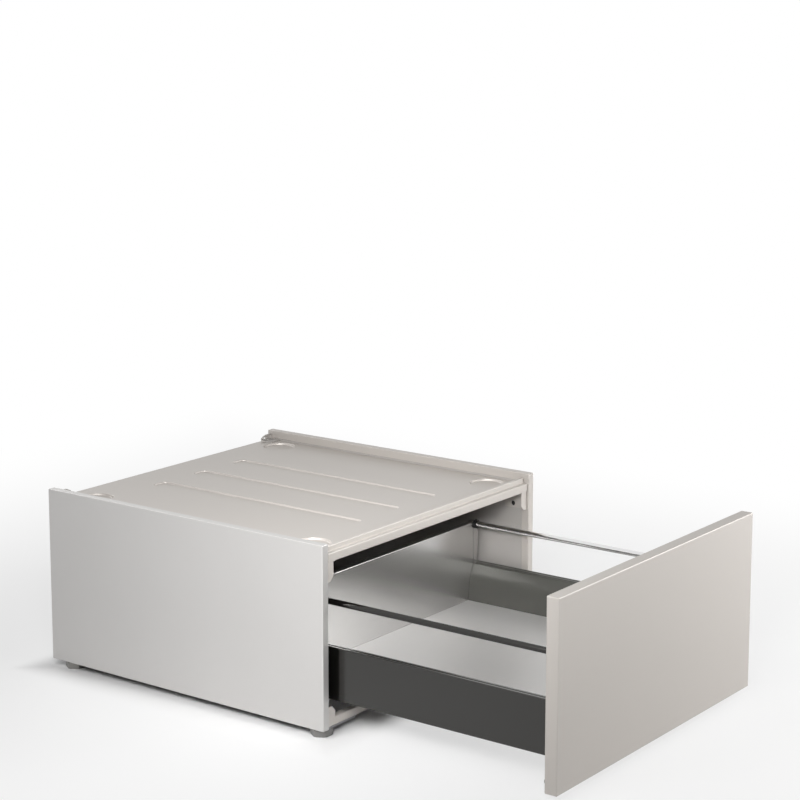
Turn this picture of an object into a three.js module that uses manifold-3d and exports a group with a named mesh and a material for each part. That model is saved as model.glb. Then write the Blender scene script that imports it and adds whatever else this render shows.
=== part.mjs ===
// Pedestal with a drawer: a low steel cabinet with a recessed deck on top and one full-width
// drawer, shown partly open. Millimetres, +Z up, the drawer opens towards -Y.
// Built with X = 0 on the centre plane, Y = 0 at the cabinet's front edges and Z = 0 on the floor;
// the finished group is then shifted in Y so that the origin lies at the middle of its footprint.
import * as THREE from 'three';
import { mergeVertices } from 'three/addons/utils/BufferGeometryUtils.js';
import Module from 'manifold-3d';

const wasm = await Module();
wasm.setup();

// ---------------------------------------------------------------- driving dimensions
// Cabinet
const cabinetWidth = 595;
const cabinetDepth = 602;
const panelHeight = 302;
const panelThickness = 14.5;
const panelSheet = 1.2; // wall of the folded side panels
const panelReturn = 14; // flange folded back round a panel's inner edge
const panelEdgeRadius = 1.5;
const footClearance = 14.7; // floor to the underside of the panels
const seatGap = 0.3; // left between pieces that touch
const over = 1; // how far cutting tools run past the faces that they cut
const linerSheet = 1.2;

// Recessed deck that carries the load
const deckRecess = 17; // panel tops down to the deck's surface
const deckSheet = 1.5;
const deckFlange = 12;
const wellDiameter = 60; // pressed wells that take the load's round feet
const wellDepth = 4;
const wellMargin = 6; // wells clear of the rails and flanges beside them
const beadWidth = 34; // pressed stiffening beads, front to rear
const beadDepth = 3;
const beadEndMargin = 70; // deck's front and rear edges to the beads' ends
const beadCount = 3;
const beadPitch = 105;
const stiffenerWidth = 36; // channels under the deck, between the beads
const stiffenerFlange = 10;
const stiffenerDepth = 14;
const stiffenerSheet = 1.5;

// Rails and brackets
const railSheet = 1.5;
const railSetback = 2; // panels' front edges to the front rails
const railEndGap = 1;
const railCornerRadius = 3;
const bendRadius = 2; // inside radius of the visible folds
const topRailEndGap = 3; // open slit between the front top rail's ends and the panels
const topRailFace = 14.8; // height of the front top rail's face
const topRailStep = 8; // depth of the step above that face, level with the deck
const topRailReturn = 14;
const topRailLipRise = 9; // lip that stands up behind the step
const topRailLipReturn = 6; // lip's top folded back over the deck's upturned edge
const deckFrontMargin = 12.7; // deck's upturned edge to the wells' margin and the channels
const bottomRailFace = 13.6;
const earWidth = 17.5; // ears, in from the panels' inner faces
const earChamfer = 8;
const bottomEarRise = 19.2; // front bottom rail's ears above its face
const topEarDrop = 32.3; // corner brackets' ears below the front top rail
const bracketSheet = 1.8;
const bracketDepth = 45; // corner brackets' flange along the panel
const keyholeRadius = 3.6;
const keyholeSlotRadius = 2.2;
const keyholeSlotDrop = 3.4;
const keyholeSetback = 31.7; // panels' front edges to the keyhole
const keyholeRise = 7.6; // brackets' lower edge up to the keyhole
const rearInset = 6; // panels' rear edges to the rear rails
const rearRailFace = 36;
const rearTopReturn = 18;
const rearPanelSheet = 1;
const rearPanelRise = 4; // underside of the panels up to the rear panel
const ventCount = 7;
const ventWidth = 44;
const ventHeight = 6;
const ventPitch = 64;
const ventRows = 2;
const ventRowPitch = 18;
const ventDrop = 60; // panel tops down to the upper row of vents

// Stops that keep the load from walking off the rear of the deck
const stopWidth = 30;
const stopRise = 11.3; // above the deck
const stopBase = 22;
const stopSheet = 1.8;
const stopSetback = 8; // panels' rear edges to the stops
const stopChamferX = 11;
const stopChamferZ = 5;
const stopHoleRadius = 2.4;
const stopHoleInset = 21.5; // panels' inner faces to the stops' holes
const stopHoleDrop = 6; // top of a stop down to its hole

// Feet
const footInsetX = 24.5; // panels' outer faces to the feet
const footInsetFront = 23.5;
const footInsetRear = 32;
const footAcrossFlats = 32;
const footPadHeight = 13.4;
const footTopChamfer = 2.2;
const footBottomChamfer = 0.8;
const stemDiameter = 10;
const stemHeadroom = 3; // stems' tops below the runners' shelves
const nutAcrossFlats = 17;
const nutHeight = 7;
const threadClearance = 0.4; // radial, between a stem and what it passes through
const footPlateLength = 71.2; // along the front
const footPlateDepth = 62;
const footPlateSheet = 2.6;
const footPlateFlange = 20; // upturned flange along the panel

// Drawer
const openAtRest = 407.5; // how far out the drawer stands
const frontGap = 2; // closed front to the panels' front edges
const frontThickness = 21.7;
const frontTopDrop = 4.4; // panel tops down to the front's upper edge
const frontDrop = 0.7; // lower edge of the front below the panels' undersides
const frontSideGap = 0.65; // front inside the panels' outer faces, each side
const frontSheet = 1.2;
const frontReturn = 14;
const frontEdgeRadius = 1.8;
const backPlateSheet = 1;
const drawerInnerDepth = 507.5; // front's inner face to the back panel
const floorRise = 65; // underside of the panels up to the drawer's floor
const floorSheet = 1.2;
const sideInset = 27.5; // panels' outer faces to the drawer sides' outer faces
const sideRise = 66.8; // drawer sides' top edges above the floor
const sideHeight = 86;
const sideSheet = 1.2;
const sideBend = 1; // inside radius of the drawer sides' folds
const sideTopWidth = 15.5;
const sideShoulderDrop = 22; // the inner wall leans in down to this depth
const sideShoulderWidth = 24.5; // outer face to the inner wall at the shoulder
const sideFootWidth = 31.5; // outer face to the inner wall at the floor
const sideLedge = 13; // flange under the floor
const sideGroove = 3; // seam groove along the top edge
const sideGrooveDepth = 0.6;
const sideGrooveInset = 4.5;
const drawerBackHeight = 140.4; // floor to the back panel's top edge
const drawerBackSheet = 1.2;
const drawerBackFold = 12;
const rodDiameter = 10;
const rodInset = 10.3; // drawer side's outer face to the rod's axis
const rodRise = 136.5; // drawer floor to the rod's axis
const rodFit = 0.3; // radial clearance of the rods' ends in their seats
const rodEngagement = 9;
const holderWidth = 12.5;
const holderDepth = 14;
const socketDiameter = 17;
const socketLength = 12;
const fixingHeight = 56;
const fixingWidth = 11.5;
const fixingDepth = 24;
const fixingSheet = 2.2;
const bumperDiameter = 10;
const bumperInset = 18; // front's upper and lower edges to the bumpers

// Runners
const runnerSheet = 1.5;
const runnerPlay = 0.4; // running clearance between the profiles
const runnerLength = 500;
const runnerSetback = 14; // panels' front edges to the fixed profiles
const runnerInset = 3.5; // drawer side's outer face to the drawer profile's outer leg
const runnerWallDrop = 18; // fixed profile's wall, down from its shelf
const middleHeight = 16.2;
const middleWidth = 16;
const middleFlange = 5.5;
const lipOverlap = 3.4; // fixed profile's lip over the middle profile's flange
const outerLegLength = 10.5;

// ---------------------------------------------------------------- materials
const finish = (color, roughness, metalness) => (
  new THREE.MeshStandardMaterial({ color, roughness, metalness })
);
const coated = finish(0xbdb9b5, 0.45, 0.35);
const frameSteel = finish(0xb3afab, 0.5, 0.35);
const stainless = finish(0xa8a6a2, 0.3, 0.9);
const drawerSideSteel = finish(0x4b4a47, 0.4, 0.5);
const polished = finish(0xd0d0d0, 0.12, 1);
const zinc = finish(0x9c9d9e, 0.4, 0.8);
const galvanised = finish(0x8f9091, 0.5, 0.7);
const footMetal = finish(0x8b8783, 0.45, 0.6);
const darkPlastic = finish(0x1d1d1d, 0.6, 0);
const rubber = finish(0x2a2a2a, 0.9, 0);

// ---------------------------------------------------------------- solids
const toSolid = (geometry) => {
  const bare = geometry.index ? geometry.toNonIndexed() : geometry;
  bare.deleteAttribute('normal');
  bare.deleteAttribute('uv');
  const merged = mergeVertices(bare, 1e-4);
  return new wasm.Manifold(new wasm.Mesh({
    numProp: 3,
    vertProperties: new Float32Array(merged.attributes.position.array),
    triVerts: new Uint32Array(merged.index.array),
  }));
};

const toGeometry = (solid) => {
  const mesh = solid.getMesh();
  const geometry = new THREE.BufferGeometry();
  geometry.setAttribute('position', new THREE.BufferAttribute(mesh.vertProperties, 3));
  geometry.setIndex(new THREE.BufferAttribute(mesh.triVerts, 1));
  return geometry;
};

// Box between two opposite corners, given in any order.
const box = ([x0, x1], [y0, y1], [z0, z1]) => {
  const geometry = new THREE.BoxGeometry(Math.abs(x1 - x0), Math.abs(y1 - y0), Math.abs(z1 - z0));
  geometry.translate((x0 + x1) / 2, (y0 + y1) / 2, (z0 + z1) / 2);
  return toSolid(geometry);
};

const join = (...solids) => solids.reduce((sum, solid) => sum.add(solid));
const cut = (solid, ...tools) => tools.reduce((rest, tool) => rest.subtract(tool), solid);

// An outline's two axes and the axis that it is drawn out along.
const planes = {
  XY: [new THREE.Vector3(1, 0, 0), new THREE.Vector3(0, 1, 0), new THREE.Vector3(0, 0, 1)],
  YZ: [new THREE.Vector3(0, 1, 0), new THREE.Vector3(0, 0, 1), new THREE.Vector3(1, 0, 0)],
  ZX: [new THREE.Vector3(0, 0, 1), new THREE.Vector3(1, 0, 0), new THREE.Vector3(0, 1, 0)],
};

const extrude = (outline, plane, [from, to]) => {
  const shape = new THREE.Shape(outline.map(([a, b]) => new THREE.Vector2(a, b)));
  const depth = Math.abs(to - from);
  const geometry = new THREE.ExtrudeGeometry(shape, { depth, bevelEnabled: false });
  geometry.translate(0, 0, Math.min(from, to));
  geometry.applyMatrix4(new THREE.Matrix4().makeBasis(...planes[plane]));
  return toSolid(geometry);
};

// An outline of [x, z] points, drawn out along Y.
const extrudeAlongY = (outline, span) => extrude(outline.map(([x, z]) => [z, x]), 'ZX', span);

// Outline of a bent sheet. The path is one face of it and the sheet lies to the left, `thickness`
// deep; each corner is an arc whose inner radius is `radius`, or a mitre where that is 0.
const bentSheet = (path, thickness, radius = 0, steps = 3) => {
  const points = path.map(([a, b]) => new THREE.Vector2(a, b));
  const left = (direction) => new THREE.Vector2(-direction.y, direction.x);
  const face = [];
  const hidden = [];
  points.forEach((point, i) => {
    const before = i > 0 && point.clone().sub(points[i - 1]).normalize();
    const after = i < points.length - 1 && points[i + 1].clone().sub(point).normalize();
    if (!before || !after) {
      face.push(point);
      hidden.push(point.clone().addScaledVector(left(before || after), thickness));
      return;
    }
    const turn = Math.atan2(before.cross(after), before.dot(after));
    const bisector = left(before).add(left(after)).normalize();
    const slant = 1 / Math.cos(turn / 2);
    if (radius === 0) {
      face.push(point);
      hidden.push(point.clone().addScaledVector(bisector, thickness * slant));
      return;
    }
    const side = Math.sign(turn);
    const faceRadius = radius + (side > 0 ? thickness : 0);
    const hiddenRadius = radius + (side > 0 ? 0 : thickness);
    const centre = point.clone().addScaledVector(bisector, side * faceRadius * slant);
    const arm = left(before).multiplyScalar(-side);
    const start = Math.atan2(arm.y, arm.x);
    for (let k = 0; k <= steps; k += 1) {
      const angle = start + (turn * k) / steps;
      const direction = new THREE.Vector2(Math.cos(angle), Math.sin(angle));
      face.push(centre.clone().addScaledVector(direction, faceRadius));
      hidden.push(centre.clone().addScaledVector(direction, hiddenRadius));
    }
  });
  return [...face, ...hidden.reverse()].map((p) => [p.x, p.y]);
};

// The same outline seen from the other side of the centre plane.
const mirrored = (outline, side) => (side > 0 ? outline : outline.map(([x, b]) => [-x, b]).reverse());

const roundedRectangle = ([a0, a1], [b0, b1], radius, steps = 3) => {
  const centres = [[a1 - radius, b1 - radius], [a0 + radius, b1 - radius],
    [a0 + radius, b0 + radius], [a1 - radius, b0 + radius]];
  return centres.flatMap(([a, b], corner) => Array.from({ length: steps + 1 }, (_, k) => {
    const angle = ((corner + k / steps) * Math.PI) / 2;
    return [a + radius * Math.cos(angle), b + radius * Math.sin(angle)];
  }));
};

// Round bar along an axis, given the span along it and its place across it in X, Y, Z order.
const cylinder = (radius, axis, [from, to], [a, b], segments = 24) => {
  const geometry = new THREE.CylinderGeometry(radius, radius, Math.abs(to - from), segments);
  const middle = (from + to) / 2;
  if (axis === 'X') geometry.rotateZ(Math.PI / 2).translate(middle, a, b);
  if (axis === 'Y') geometry.translate(a, middle, b);
  if (axis === 'Z') geometry.rotateX(Math.PI / 2).translate(a, b, middle);
  return toSolid(geometry);
};

const hexCorner = (acrossFlats) => acrossFlats / 2 / Math.cos(Math.PI / 6);

// Upright hexagonal prism; `turn` is the angle of its first corner from +X.
const hexPrism = (acrossFlats, [from, to], [x, y], turn = 0) => {
  const outline = Array.from({ length: 6 }, (_, k) => {
    const angle = turn + (k * Math.PI) / 3;
    return [x + hexCorner(acrossFlats) * Math.cos(angle), y + hexCorner(acrossFlats) * Math.sin(angle)];
  });
  return extrude(outline, 'XY', [from, to]);
};

// Bar along Y that takes a corner off a sheet: a chamfer, or a round corner where steps > 1.
// legX and legZ run from the corner along the two edges; their signs say which way.
const cornerTool = ([x, z], [legX, legZ], [y0, y1], steps = 1) => {
  const arc = Array.from({ length: steps + 1 }, (_, k) => {
    const angle = (k / steps) * (Math.PI / 2);
    return [x + legX * (1 - Math.sin(angle)), z + legZ * (1 - Math.cos(angle))];
  });
  const overX = x - Math.sign(legX) * over;
  const overZ = z - Math.sign(legZ) * over;
  return extrudeAlongY([[overX, z + legZ], ...arc.reverse(), [x + legX, overZ], [overX, overZ]], [y0, y1]);
};

const group = new THREE.Group();
const add = (name, solid, material) => {
  const mesh = new THREE.Mesh(toGeometry(solid), material);
  mesh.name = name;
  group.add(mesh);
};

// ---------------------------------------------------------------- derived places
const halfWidth = cabinetWidth / 2;
const innerHalf = halfWidth - panelThickness; // cabinet's clear half width
const seatHalf = innerHalf - seatGap; // where pieces seat against the panels
const panelBottom = footClearance;
const panelTop = panelBottom + panelHeight;
const deckTop = panelTop - deckRecess;
const deckBottom = deckTop - deckSheet;
const underDeck = deckBottom - seatGap;
const topRailBottom = deckTop - topRailFace;
const railLipTop = deckTop + topRailLipRise;
const footPlateBottom = panelBottom + seatGap;
const footPlateTop = footPlateBottom + footPlateSheet;
const bottomRailBottom = footPlateTop + seatGap;
const bottomRailTop = bottomRailBottom + bottomRailFace;
const nutReach = hexCorner(nutAcrossFlats) + 4 * seatGap; // bottom rails' returns stop short of the nuts
const bottomRailReturn = footInsetFront - railSetback - nutReach;
const rearBottomReturn = footInsetRear - rearInset - nutReach;
const railLipFront = railSetback + topRailStep;
const deckFront = railLipFront + railSheet + seatGap;
const clearFront = deckFront + deckSheet + deckFrontMargin;
const rearRailPlane = cabinetDepth - rearInset;
const rearRailFront = rearRailPlane - rearTopReturn;
const rearPanelFront = rearRailPlane + seatGap;
const deckRear = rearPanelFront + rearPanelSheet;
const bracketFront = railSetback + railSheet + seatGap; // front face of the front corner brackets
const bracketRear = rearRailPlane - railSheet - seatGap; // rear face of the rear corner brackets

const frontBack = -(openAtRest + frontGap); // inner face of the drawer's front
const frontFace = frontBack - frontThickness;
const frontBottom = panelBottom - frontDrop;
const frontTop = panelTop - frontTopDrop;
const frontHalf = halfWidth - frontSideGap;
const boxFront = frontBack + seatGap;
const boxRear = frontBack + drawerInnerDepth; // inner face of the drawer's back panel
const floorTop = panelBottom + floorRise;
const ledgeTop = floorTop - floorSheet - seatGap;
const ledgeBottom = ledgeTop - sideSheet;
const sideTop = floorTop + sideRise;
const sideOuter = halfWidth - sideInset;
const sideFoot = sideOuter - sideFootWidth;
const backHalf = sideOuter - sideTopWidth;
const drawerBackTop = floorTop + drawerBackHeight;
const rodX = sideOuter - rodInset;
const rodZ = floorTop + rodRise;
const rodFront = boxFront + socketLength - rodEngagement;
const rodRear = boxRear + rodEngagement;

// Runner profiles, from the drawer's floor down and from the drawer side's outer face inwards
const drawerWebTop = ledgeBottom - seatGap;
const drawerWebBottom = drawerWebTop - runnerSheet;
const middleTop = drawerWebBottom - runnerPlay;
const middleBottom = middleTop - middleHeight;
const shelfTop = middleBottom - runnerPlay;
const shelfBottom = shelfTop - runnerSheet;
const lipBottom = middleBottom + runnerSheet + runnerPlay;
const lipTop = lipBottom + runnerSheet;
const outerLeg = sideOuter - runnerInset;
const middleOuter = outerLeg - runnerSheet - runnerPlay;
const middleInner = middleOuter - middleWidth;
const middleToe = middleInner - middleFlange;
const upstand = middleToe - runnerPlay;

const stemTop = shelfBottom - stemHeadroom;

const sides = [['left', -1], ['right', 1]];
const ends = [['front', 1], ['rear', -1]];

// ---------------------------------------------------------------- side panels
// Folded steel tray, open towards the inside of the cabinet.
function sidePanel(side) {
  const across = [side * innerHalf, side * halfWidth].sort((a, b) => a - b);
  const outline = roundedRectangle(across, [0, cabinetDepth], panelEdgeRadius);
  const pocket = box(
    [side * (innerHalf + panelSheet), side * (halfWidth - panelSheet)],
    [panelSheet, cabinetDepth - panelSheet],
    [panelBottom + panelSheet, panelTop - panelSheet],
  );
  const opening = box(
    [side * seatHalf, side * (innerHalf + 2 * panelSheet)],
    [panelReturn, cabinetDepth - panelReturn],
    [panelBottom + panelReturn, panelTop - panelReturn],
  );
  return cut(extrude(outline, 'XY', [panelBottom, panelTop]), pocket, opening);
}

// Keyhole through the bracket and the liner behind it.
function keyhole(side) {
  const through = [side * (seatHalf - 2 * bracketSheet), side * (innerHalf + 2 * linerSheet)];
  const z = topRailBottom - topEarDrop + keyholeRise;
  return join(
    cylinder(keyholeRadius, 'X', through, [keyholeSetback, z]),
    cylinder(keyholeSlotRadius, 'X', through, [keyholeSetback, z - keyholeSlotDrop]),
  );
}

// Flat sheet that closes the tray and carries the runner.
function sideLiner(side) {
  const margin = panelReturn + seatGap;
  const sheet = box(
    [side * innerHalf, side * (innerHalf + linerSheet)],
    [margin, cabinetDepth - margin],
    [panelBottom + margin, panelTop - margin],
  );
  return cut(sheet, keyhole(side));
}

// ---------------------------------------------------------------- deck
const wellRadius = wellDiameter / 2;
const wellReach = wellMargin + wellRadius + deckSheet;
const wellX = seatHalf - deckSheet - wellReach;
const wellRows = [clearFront + wellReach, rearRailFront - wellReach];
const beadCentres = Array.from({ length: beadCount }, (_, i) => (i - (beadCount - 1) / 2) * beadPitch);
const stiffenerCentres = [-beadPitch / 2, beadPitch / 2];

// Sheet with down-turned sides, an upturned front edge, round wells for the load's feet and sunk
// beads.
function topDeck() {
  const insideSheet = deckBottom + deckSheet / 2;
  const underside = [];
  const hollows = [];
  for (const x of [-wellX, wellX]) {
    for (const y of wellRows) {
      const floor = deckTop - wellDepth;
      underside.push(cylinder(wellRadius + deckSheet, 'Z', [floor - deckSheet, insideSheet], [x, y], 32));
      hollows.push(cylinder(wellRadius, 'Z', [floor, deckTop + over], [x, y], 32));
    }
  }
  for (const x of beadCentres) {
    const span = [deckFront + beadEndMargin, deckRear - beadEndMargin];
    const floor = deckTop - beadDepth;
    const under = [floor - deckSheet, insideSheet];
    const half = beadWidth / 2;
    underside.push(box([x - half - deckSheet, x + half + deckSheet],
      [span[0] - deckSheet, span[1] + deckSheet], under));
    hollows.push(box([x - half, x + half], span, [floor, deckTop + over]));
  }
  const plate = box([-seatHalf, seatHalf], [deckFront, deckRear], [deckBottom, deckTop]);
  const flangeSpan = [bracketFront + bracketDepth + seatGap, bracketRear - bracketDepth - seatGap];
  const flanges = sides.map(([, side]) => box(
    [side * seatHalf, side * (seatHalf - deckSheet)],
    flangeSpan,
    [deckBottom - deckFlange, insideSheet],
  ));
  const upturn = box([-seatHalf, seatHalf], [deckFront, deckFront + deckSheet],
    [insideSheet, railLipTop - railSheet - seatGap]);
  return cut(join(plate, upturn, ...flanges, ...underside), ...hollows);
}

// Top-hat channel under the deck, between two beads.
function deckStiffener(x) {
  const top = underDeck - stiffenerSheet;
  const low = underDeck - stiffenerDepth;
  const half = stiffenerWidth / 2;
  const wide = half + stiffenerFlange;
  const path = [[x - wide, top], [x - half, top], [x - half, low],
    [x + half, low], [x + half, top], [x + wide, top]];
  return extrudeAlongY(bentSheet(path, stiffenerSheet), [clearFront + seatGap, rearRailFront - seatGap]);
}

// ---------------------------------------------------------------- rails
function frontTopRail() {
  const half = innerHalf - topRailEndGap;
  const path = [[railLipFront + topRailLipReturn, railLipTop], [railLipFront, railLipTop],
    [railLipFront, deckTop], [railSetback, deckTop],
    [railSetback, topRailBottom], [railSetback + topRailReturn, topRailBottom]];
  const rail = extrude(bentSheet(path, railSheet), 'YZ', [-half, half]);
  // Its lower return stops short of the brackets' ears, and its lower corners are round.
  const returns = sides.map(([, side]) => box(
    [side * (innerHalf - earWidth - seatGap), side * (half + over)],
    [railSetback + railSheet, railSetback + topRailReturn + over],
    [topRailBottom - over, deckBottom],
  ));
  const corners = sides.map(([, side]) => cornerTool(
    [side * half, topRailBottom],
    [-side * railCornerRadius, railCornerRadius],
    [railSetback - over, railSetback + railSheet + over],
    4,
  ));
  return cut(rail, ...returns, ...corners);
}

// Strip along the bottom, turned back along both panels and raised into an ear at each end.
function frontBottomRail() {
  const back = railSetback + bottomRailReturn;
  const top = bottomRailTop + bottomEarRise;
  const earInner = innerHalf - earWidth;
  const path = [[-seatHalf, back], [-seatHalf, railSetback], [seatHalf, railSetback], [seatHalf, back]];
  const strip = extrude(bentSheet(path, railSheet, bendRadius), 'XY', [bottomRailBottom, top]);
  const through = [railSetback - over, railSetback + railSheet + over];
  const between = box([-earInner, earInner], through, [bottomRailTop, top + over]);
  const chamfers = sides.map(([, side]) => cornerTool(
    [side * earInner, top],
    [side * earChamfer, -earChamfer],
    through,
  ));
  const shelf = (z) => box([-earInner, earInner], [railSetback + railSheet / 2, back], [z, z + railSheet]);
  return join(cut(strip, between, ...chamfers), shelf(bottomRailBottom), shelf(bottomRailTop - railSheet));
}

// Rear rails are channels that open towards the front.
function rearRail(bottom, reach) {
  const half = innerHalf - railEndGap;
  const top = bottom + rearRailFace;
  const path = [[rearRailPlane - reach, bottom], [rearRailPlane, bottom],
    [rearRailPlane, top], [rearRailPlane - reach, top]];
  return extrude(bentSheet(path, railSheet), 'YZ', [-half, half]);
}

// ---------------------------------------------------------------- corner brackets
// Angle with an ear across the opening and a flange along the panel; `end` is 1 at the front.
function cornerBracket(side, end, earFace, [bottom, top]) {
  const path = [[innerHalf - earWidth, earFace], [seatHalf, earFace], [seatHalf, earFace + bracketDepth]];
  const outline = bentSheet(path, bracketSheet, bendRadius);
  const turned = end > 0 ? outline : outline.map(([x, y]) => [x, 2 * earFace - y]).reverse();
  return extrude(mirrored(turned, side), 'XY', [bottom, top]);
}

function frontBracket(side) {
  const bottom = topRailBottom - topEarDrop;
  const bracket = cornerBracket(side, 1, bracketFront, [bottom, underDeck]);
  const chamfer = cornerTool(
    [side * (innerHalf - earWidth), bottom],
    [side * earChamfer, earChamfer],
    [bracketFront - over, bracketFront + bracketSheet + over],
  );
  return cut(bracket, chamfer, keyhole(side));
}

function rearBracket(side) {
  const top = underDeck - railSheet - seatGap;
  return cornerBracket(side, -1, bracketRear, [underDeck - rearRailFace + railSheet + seatGap, top]);
}

// ---------------------------------------------------------------- rear panel and stops
function rearPanel() {
  const sheet = box(
    [-(innerHalf - railEndGap), innerHalf - railEndGap],
    [rearPanelFront, deckRear],
    [panelBottom + rearPanelRise, underDeck],
  );
  const vents = [];
  for (let row = 0; row < ventRows; row += 1) {
    for (let i = 0; i < ventCount; i += 1) {
      const x = (i - (ventCount - 1) / 2) * ventPitch;
      const z = panelTop - ventDrop - row * ventRowPitch;
      vents.push(box(
        [x - ventWidth / 2, x + ventWidth / 2],
        [rearPanelFront - over, deckRear + over],
        [z - ventHeight, z],
      ));
    }
  }
  return cut(sheet, ...vents);
}

function rearStop(side) {
  const rear = cabinetDepth - stopSetback;
  const bottom = deckTop + seatGap;
  const top = bottom + stopRise;
  const inner = seatHalf - stopWidth;
  const across = [side * inner, side * seatHalf];
  const wall = box(across, [rear - stopSheet, rear], [bottom, top]);
  const base = box(across, [rear - stopBase, rear], [bottom, bottom + stopSheet]);
  const through = [rear - stopSheet - over, rear + over];
  const chamfer = cornerTool([side * inner, top], [side * stopChamferX, -stopChamferZ], through);
  const holeX = side * (innerHalf - stopHoleInset);
  const hole = cylinder(stopHoleRadius, 'Y', through, [holeX, top - stopHoleDrop], 16);
  return cut(join(wall, base), chamfer, hole);
}

// ---------------------------------------------------------------- feet
const footX = halfWidth - footInsetX;
const footY = (end) => (end > 0 ? footInsetFront : cabinetDepth - footInsetRear);

// Thick plate in the corner, with a flange up the panel past the lock nut.
function footPlate(side, end) {
  const edge = end > 0 ? railSetback + 2 * seatGap : rearRailPlane;
  const far = edge + end * footPlateDepth;
  const flangeFrom = footY(end) + end * nutReach;
  const plate = box(
    [side * (seatHalf - footPlateLength), side * seatHalf],
    [edge, far],
    [footPlateBottom, footPlateTop],
  );
  const flange = box(
    [side * (seatHalf - footPlateSheet), side * seatHalf],
    [flangeFrom, far],
    [footPlateBottom, footPlateBottom + footPlateFlange],
  );
  const through = [footPlateBottom - over, footPlateTop + over];
  const place = [side * footX, footY(end)];
  return cut(join(plate, flange), cylinder(stemDiameter / 2 + threadClearance, 'Z', through, place));
}

// Hexagonal pad, chamfered like a nut, with its threaded stem.
function foot(side, end) {
  const place = [side * footX, footY(end)];
  const corner = hexCorner(footAcrossFlats);
  const turned = new THREE.LatheGeometry([
    [0, 0],
    [corner - footBottomChamfer, 0],
    [corner, footBottomChamfer],
    [corner, footPadHeight - footTopChamfer],
    [corner - footTopChamfer, footPadHeight],
    [0, footPadHeight],
  ].map(([r, z]) => new THREE.Vector2(r, z)), 48);
  turned.rotateX(Math.PI / 2).translate(place[0], place[1], 0);
  const pad = hexPrism(footAcrossFlats, [0, footPadHeight], place).intersect(toSolid(turned));
  return join(pad, cylinder(stemDiameter / 2, 'Z', [footPadHeight / 2, stemTop], place));
}

function lockNut(side, end) {
  const place = [side * footX, footY(end)];
  const bottom = footPlateTop + seatGap;
  const nut = hexPrism(nutAcrossFlats, [bottom, bottom + nutHeight], place, Math.PI / 2);
  const through = [bottom - over, bottom + nutHeight + over];
  return cut(nut, cylinder(stemDiameter / 2 + threadClearance, 'Z', through, place));
}

// ---------------------------------------------------------------- runners
const fixedSpan = [runnerSetback, runnerSetback + runnerLength];
const middleSpan = fixedSpan.map((y) => y - openAtRest / 2);
const drawerSpan = [boxFront, boxRear - seatGap];

// Fixed profile: wall on the liner, shelf under the drawer, lip over the middle profile's flange.
function cabinetRunner(side) {
  const wall = box([side * seatHalf, side * (seatHalf - runnerSheet)], fixedSpan,
    [shelfTop - runnerWallDrop, shelfTop]);
  const shelf = box([side * seatHalf, side * (upstand - runnerSheet)], fixedSpan, [shelfBottom, shelfTop]);
  const riser = box([side * upstand, side * (upstand - runnerSheet)], fixedSpan, [shelfBottom, lipTop]);
  const lip = box([side * (upstand - runnerSheet), side * (middleToe + lipOverlap)], fixedSpan,
    [lipBottom, lipTop]);
  return join(wall, shelf, riser, lip);
}

// Middle profile: an upturned channel with one toe under the fixed profile's lip.
function middleRunner(side) {
  const toeEdge = middleInner + runnerSheet;
  const web = box([side * middleInner, side * middleOuter], middleSpan,
    [middleTop - runnerSheet, middleTop]);
  const outer = box([side * (middleOuter - runnerSheet), side * middleOuter], middleSpan,
    [middleBottom, middleTop]);
  const inner = box([side * middleInner, side * toeEdge], middleSpan, [middleBottom, middleTop]);
  const toe = box([side * middleToe, side * toeEdge], middleSpan,
    [middleBottom, middleBottom + runnerSheet]);
  return join(web, outer, inner, toe);
}

// Drawer profile: a web under the drawer side's ledge, with a leg down each side of the middle one.
function drawerRunner(side) {
  const innerLeg = middleInner - runnerPlay;
  const web = box([side * (sideFoot - sideLedge), side * outerLeg], drawerSpan,
    [drawerWebBottom, drawerWebTop]);
  const outer = box([side * (outerLeg - runnerSheet), side * outerLeg], drawerSpan,
    [drawerWebTop - outerLegLength, drawerWebTop]);
  const inner = box([side * (innerLeg - runnerSheet), side * innerLeg], drawerSpan,
    [lipTop + runnerPlay, drawerWebTop]);
  return join(web, outer, inner);
}

// ---------------------------------------------------------------- drawer box
// Hollow side: upright outer wall, narrow top, inner wall leaning in to a ledge under the floor.
function drawerSide(side) {
  const path = [
    [sideOuter, sideTop - sideHeight],
    [sideOuter, sideTop],
    [sideOuter - sideTopWidth, sideTop],
    [sideOuter - sideShoulderWidth, sideTop - sideShoulderDrop],
    [sideFoot, ledgeTop],
    [sideFoot - sideLedge, ledgeTop],
  ];
  const outline = mirrored(bentSheet(path, sideSheet, sideBend), side);
  const grooveX = sideOuter - sideGrooveInset;
  const groove = box(
    [side * grooveX, side * (grooveX - sideGroove)],
    [boxFront - over, boxRear + over],
    [sideTop - sideGrooveDepth, sideTop + over],
  );
  return cut(extrudeAlongY(outline, [boxFront, boxRear - seatGap]), groove);
}

function drawerFloor() {
  const half = sideFoot - seatGap;
  return box([-half, half], [boxFront, boxRear - seatGap], [floorTop - floorSheet, floorTop]);
}

// Tall back panel, folded to the rear along all four edges.
function drawerBack() {
  const rear = boxRear + drawerBackFold;
  const path = [[rear, drawerBackTop], [boxRear, drawerBackTop],
    [boxRear, ledgeBottom], [rear, ledgeBottom]];
  const panel = extrude(bentSheet(path, drawerBackSheet), 'YZ', [-backHalf, backHalf]);
  const folds = sides.map(([, side]) => box(
    [side * backHalf, side * (backHalf - drawerBackSheet)],
    [boxRear, rear],
    [ledgeBottom, drawerBackTop],
  ));
  return join(panel, ...folds);
}

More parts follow.
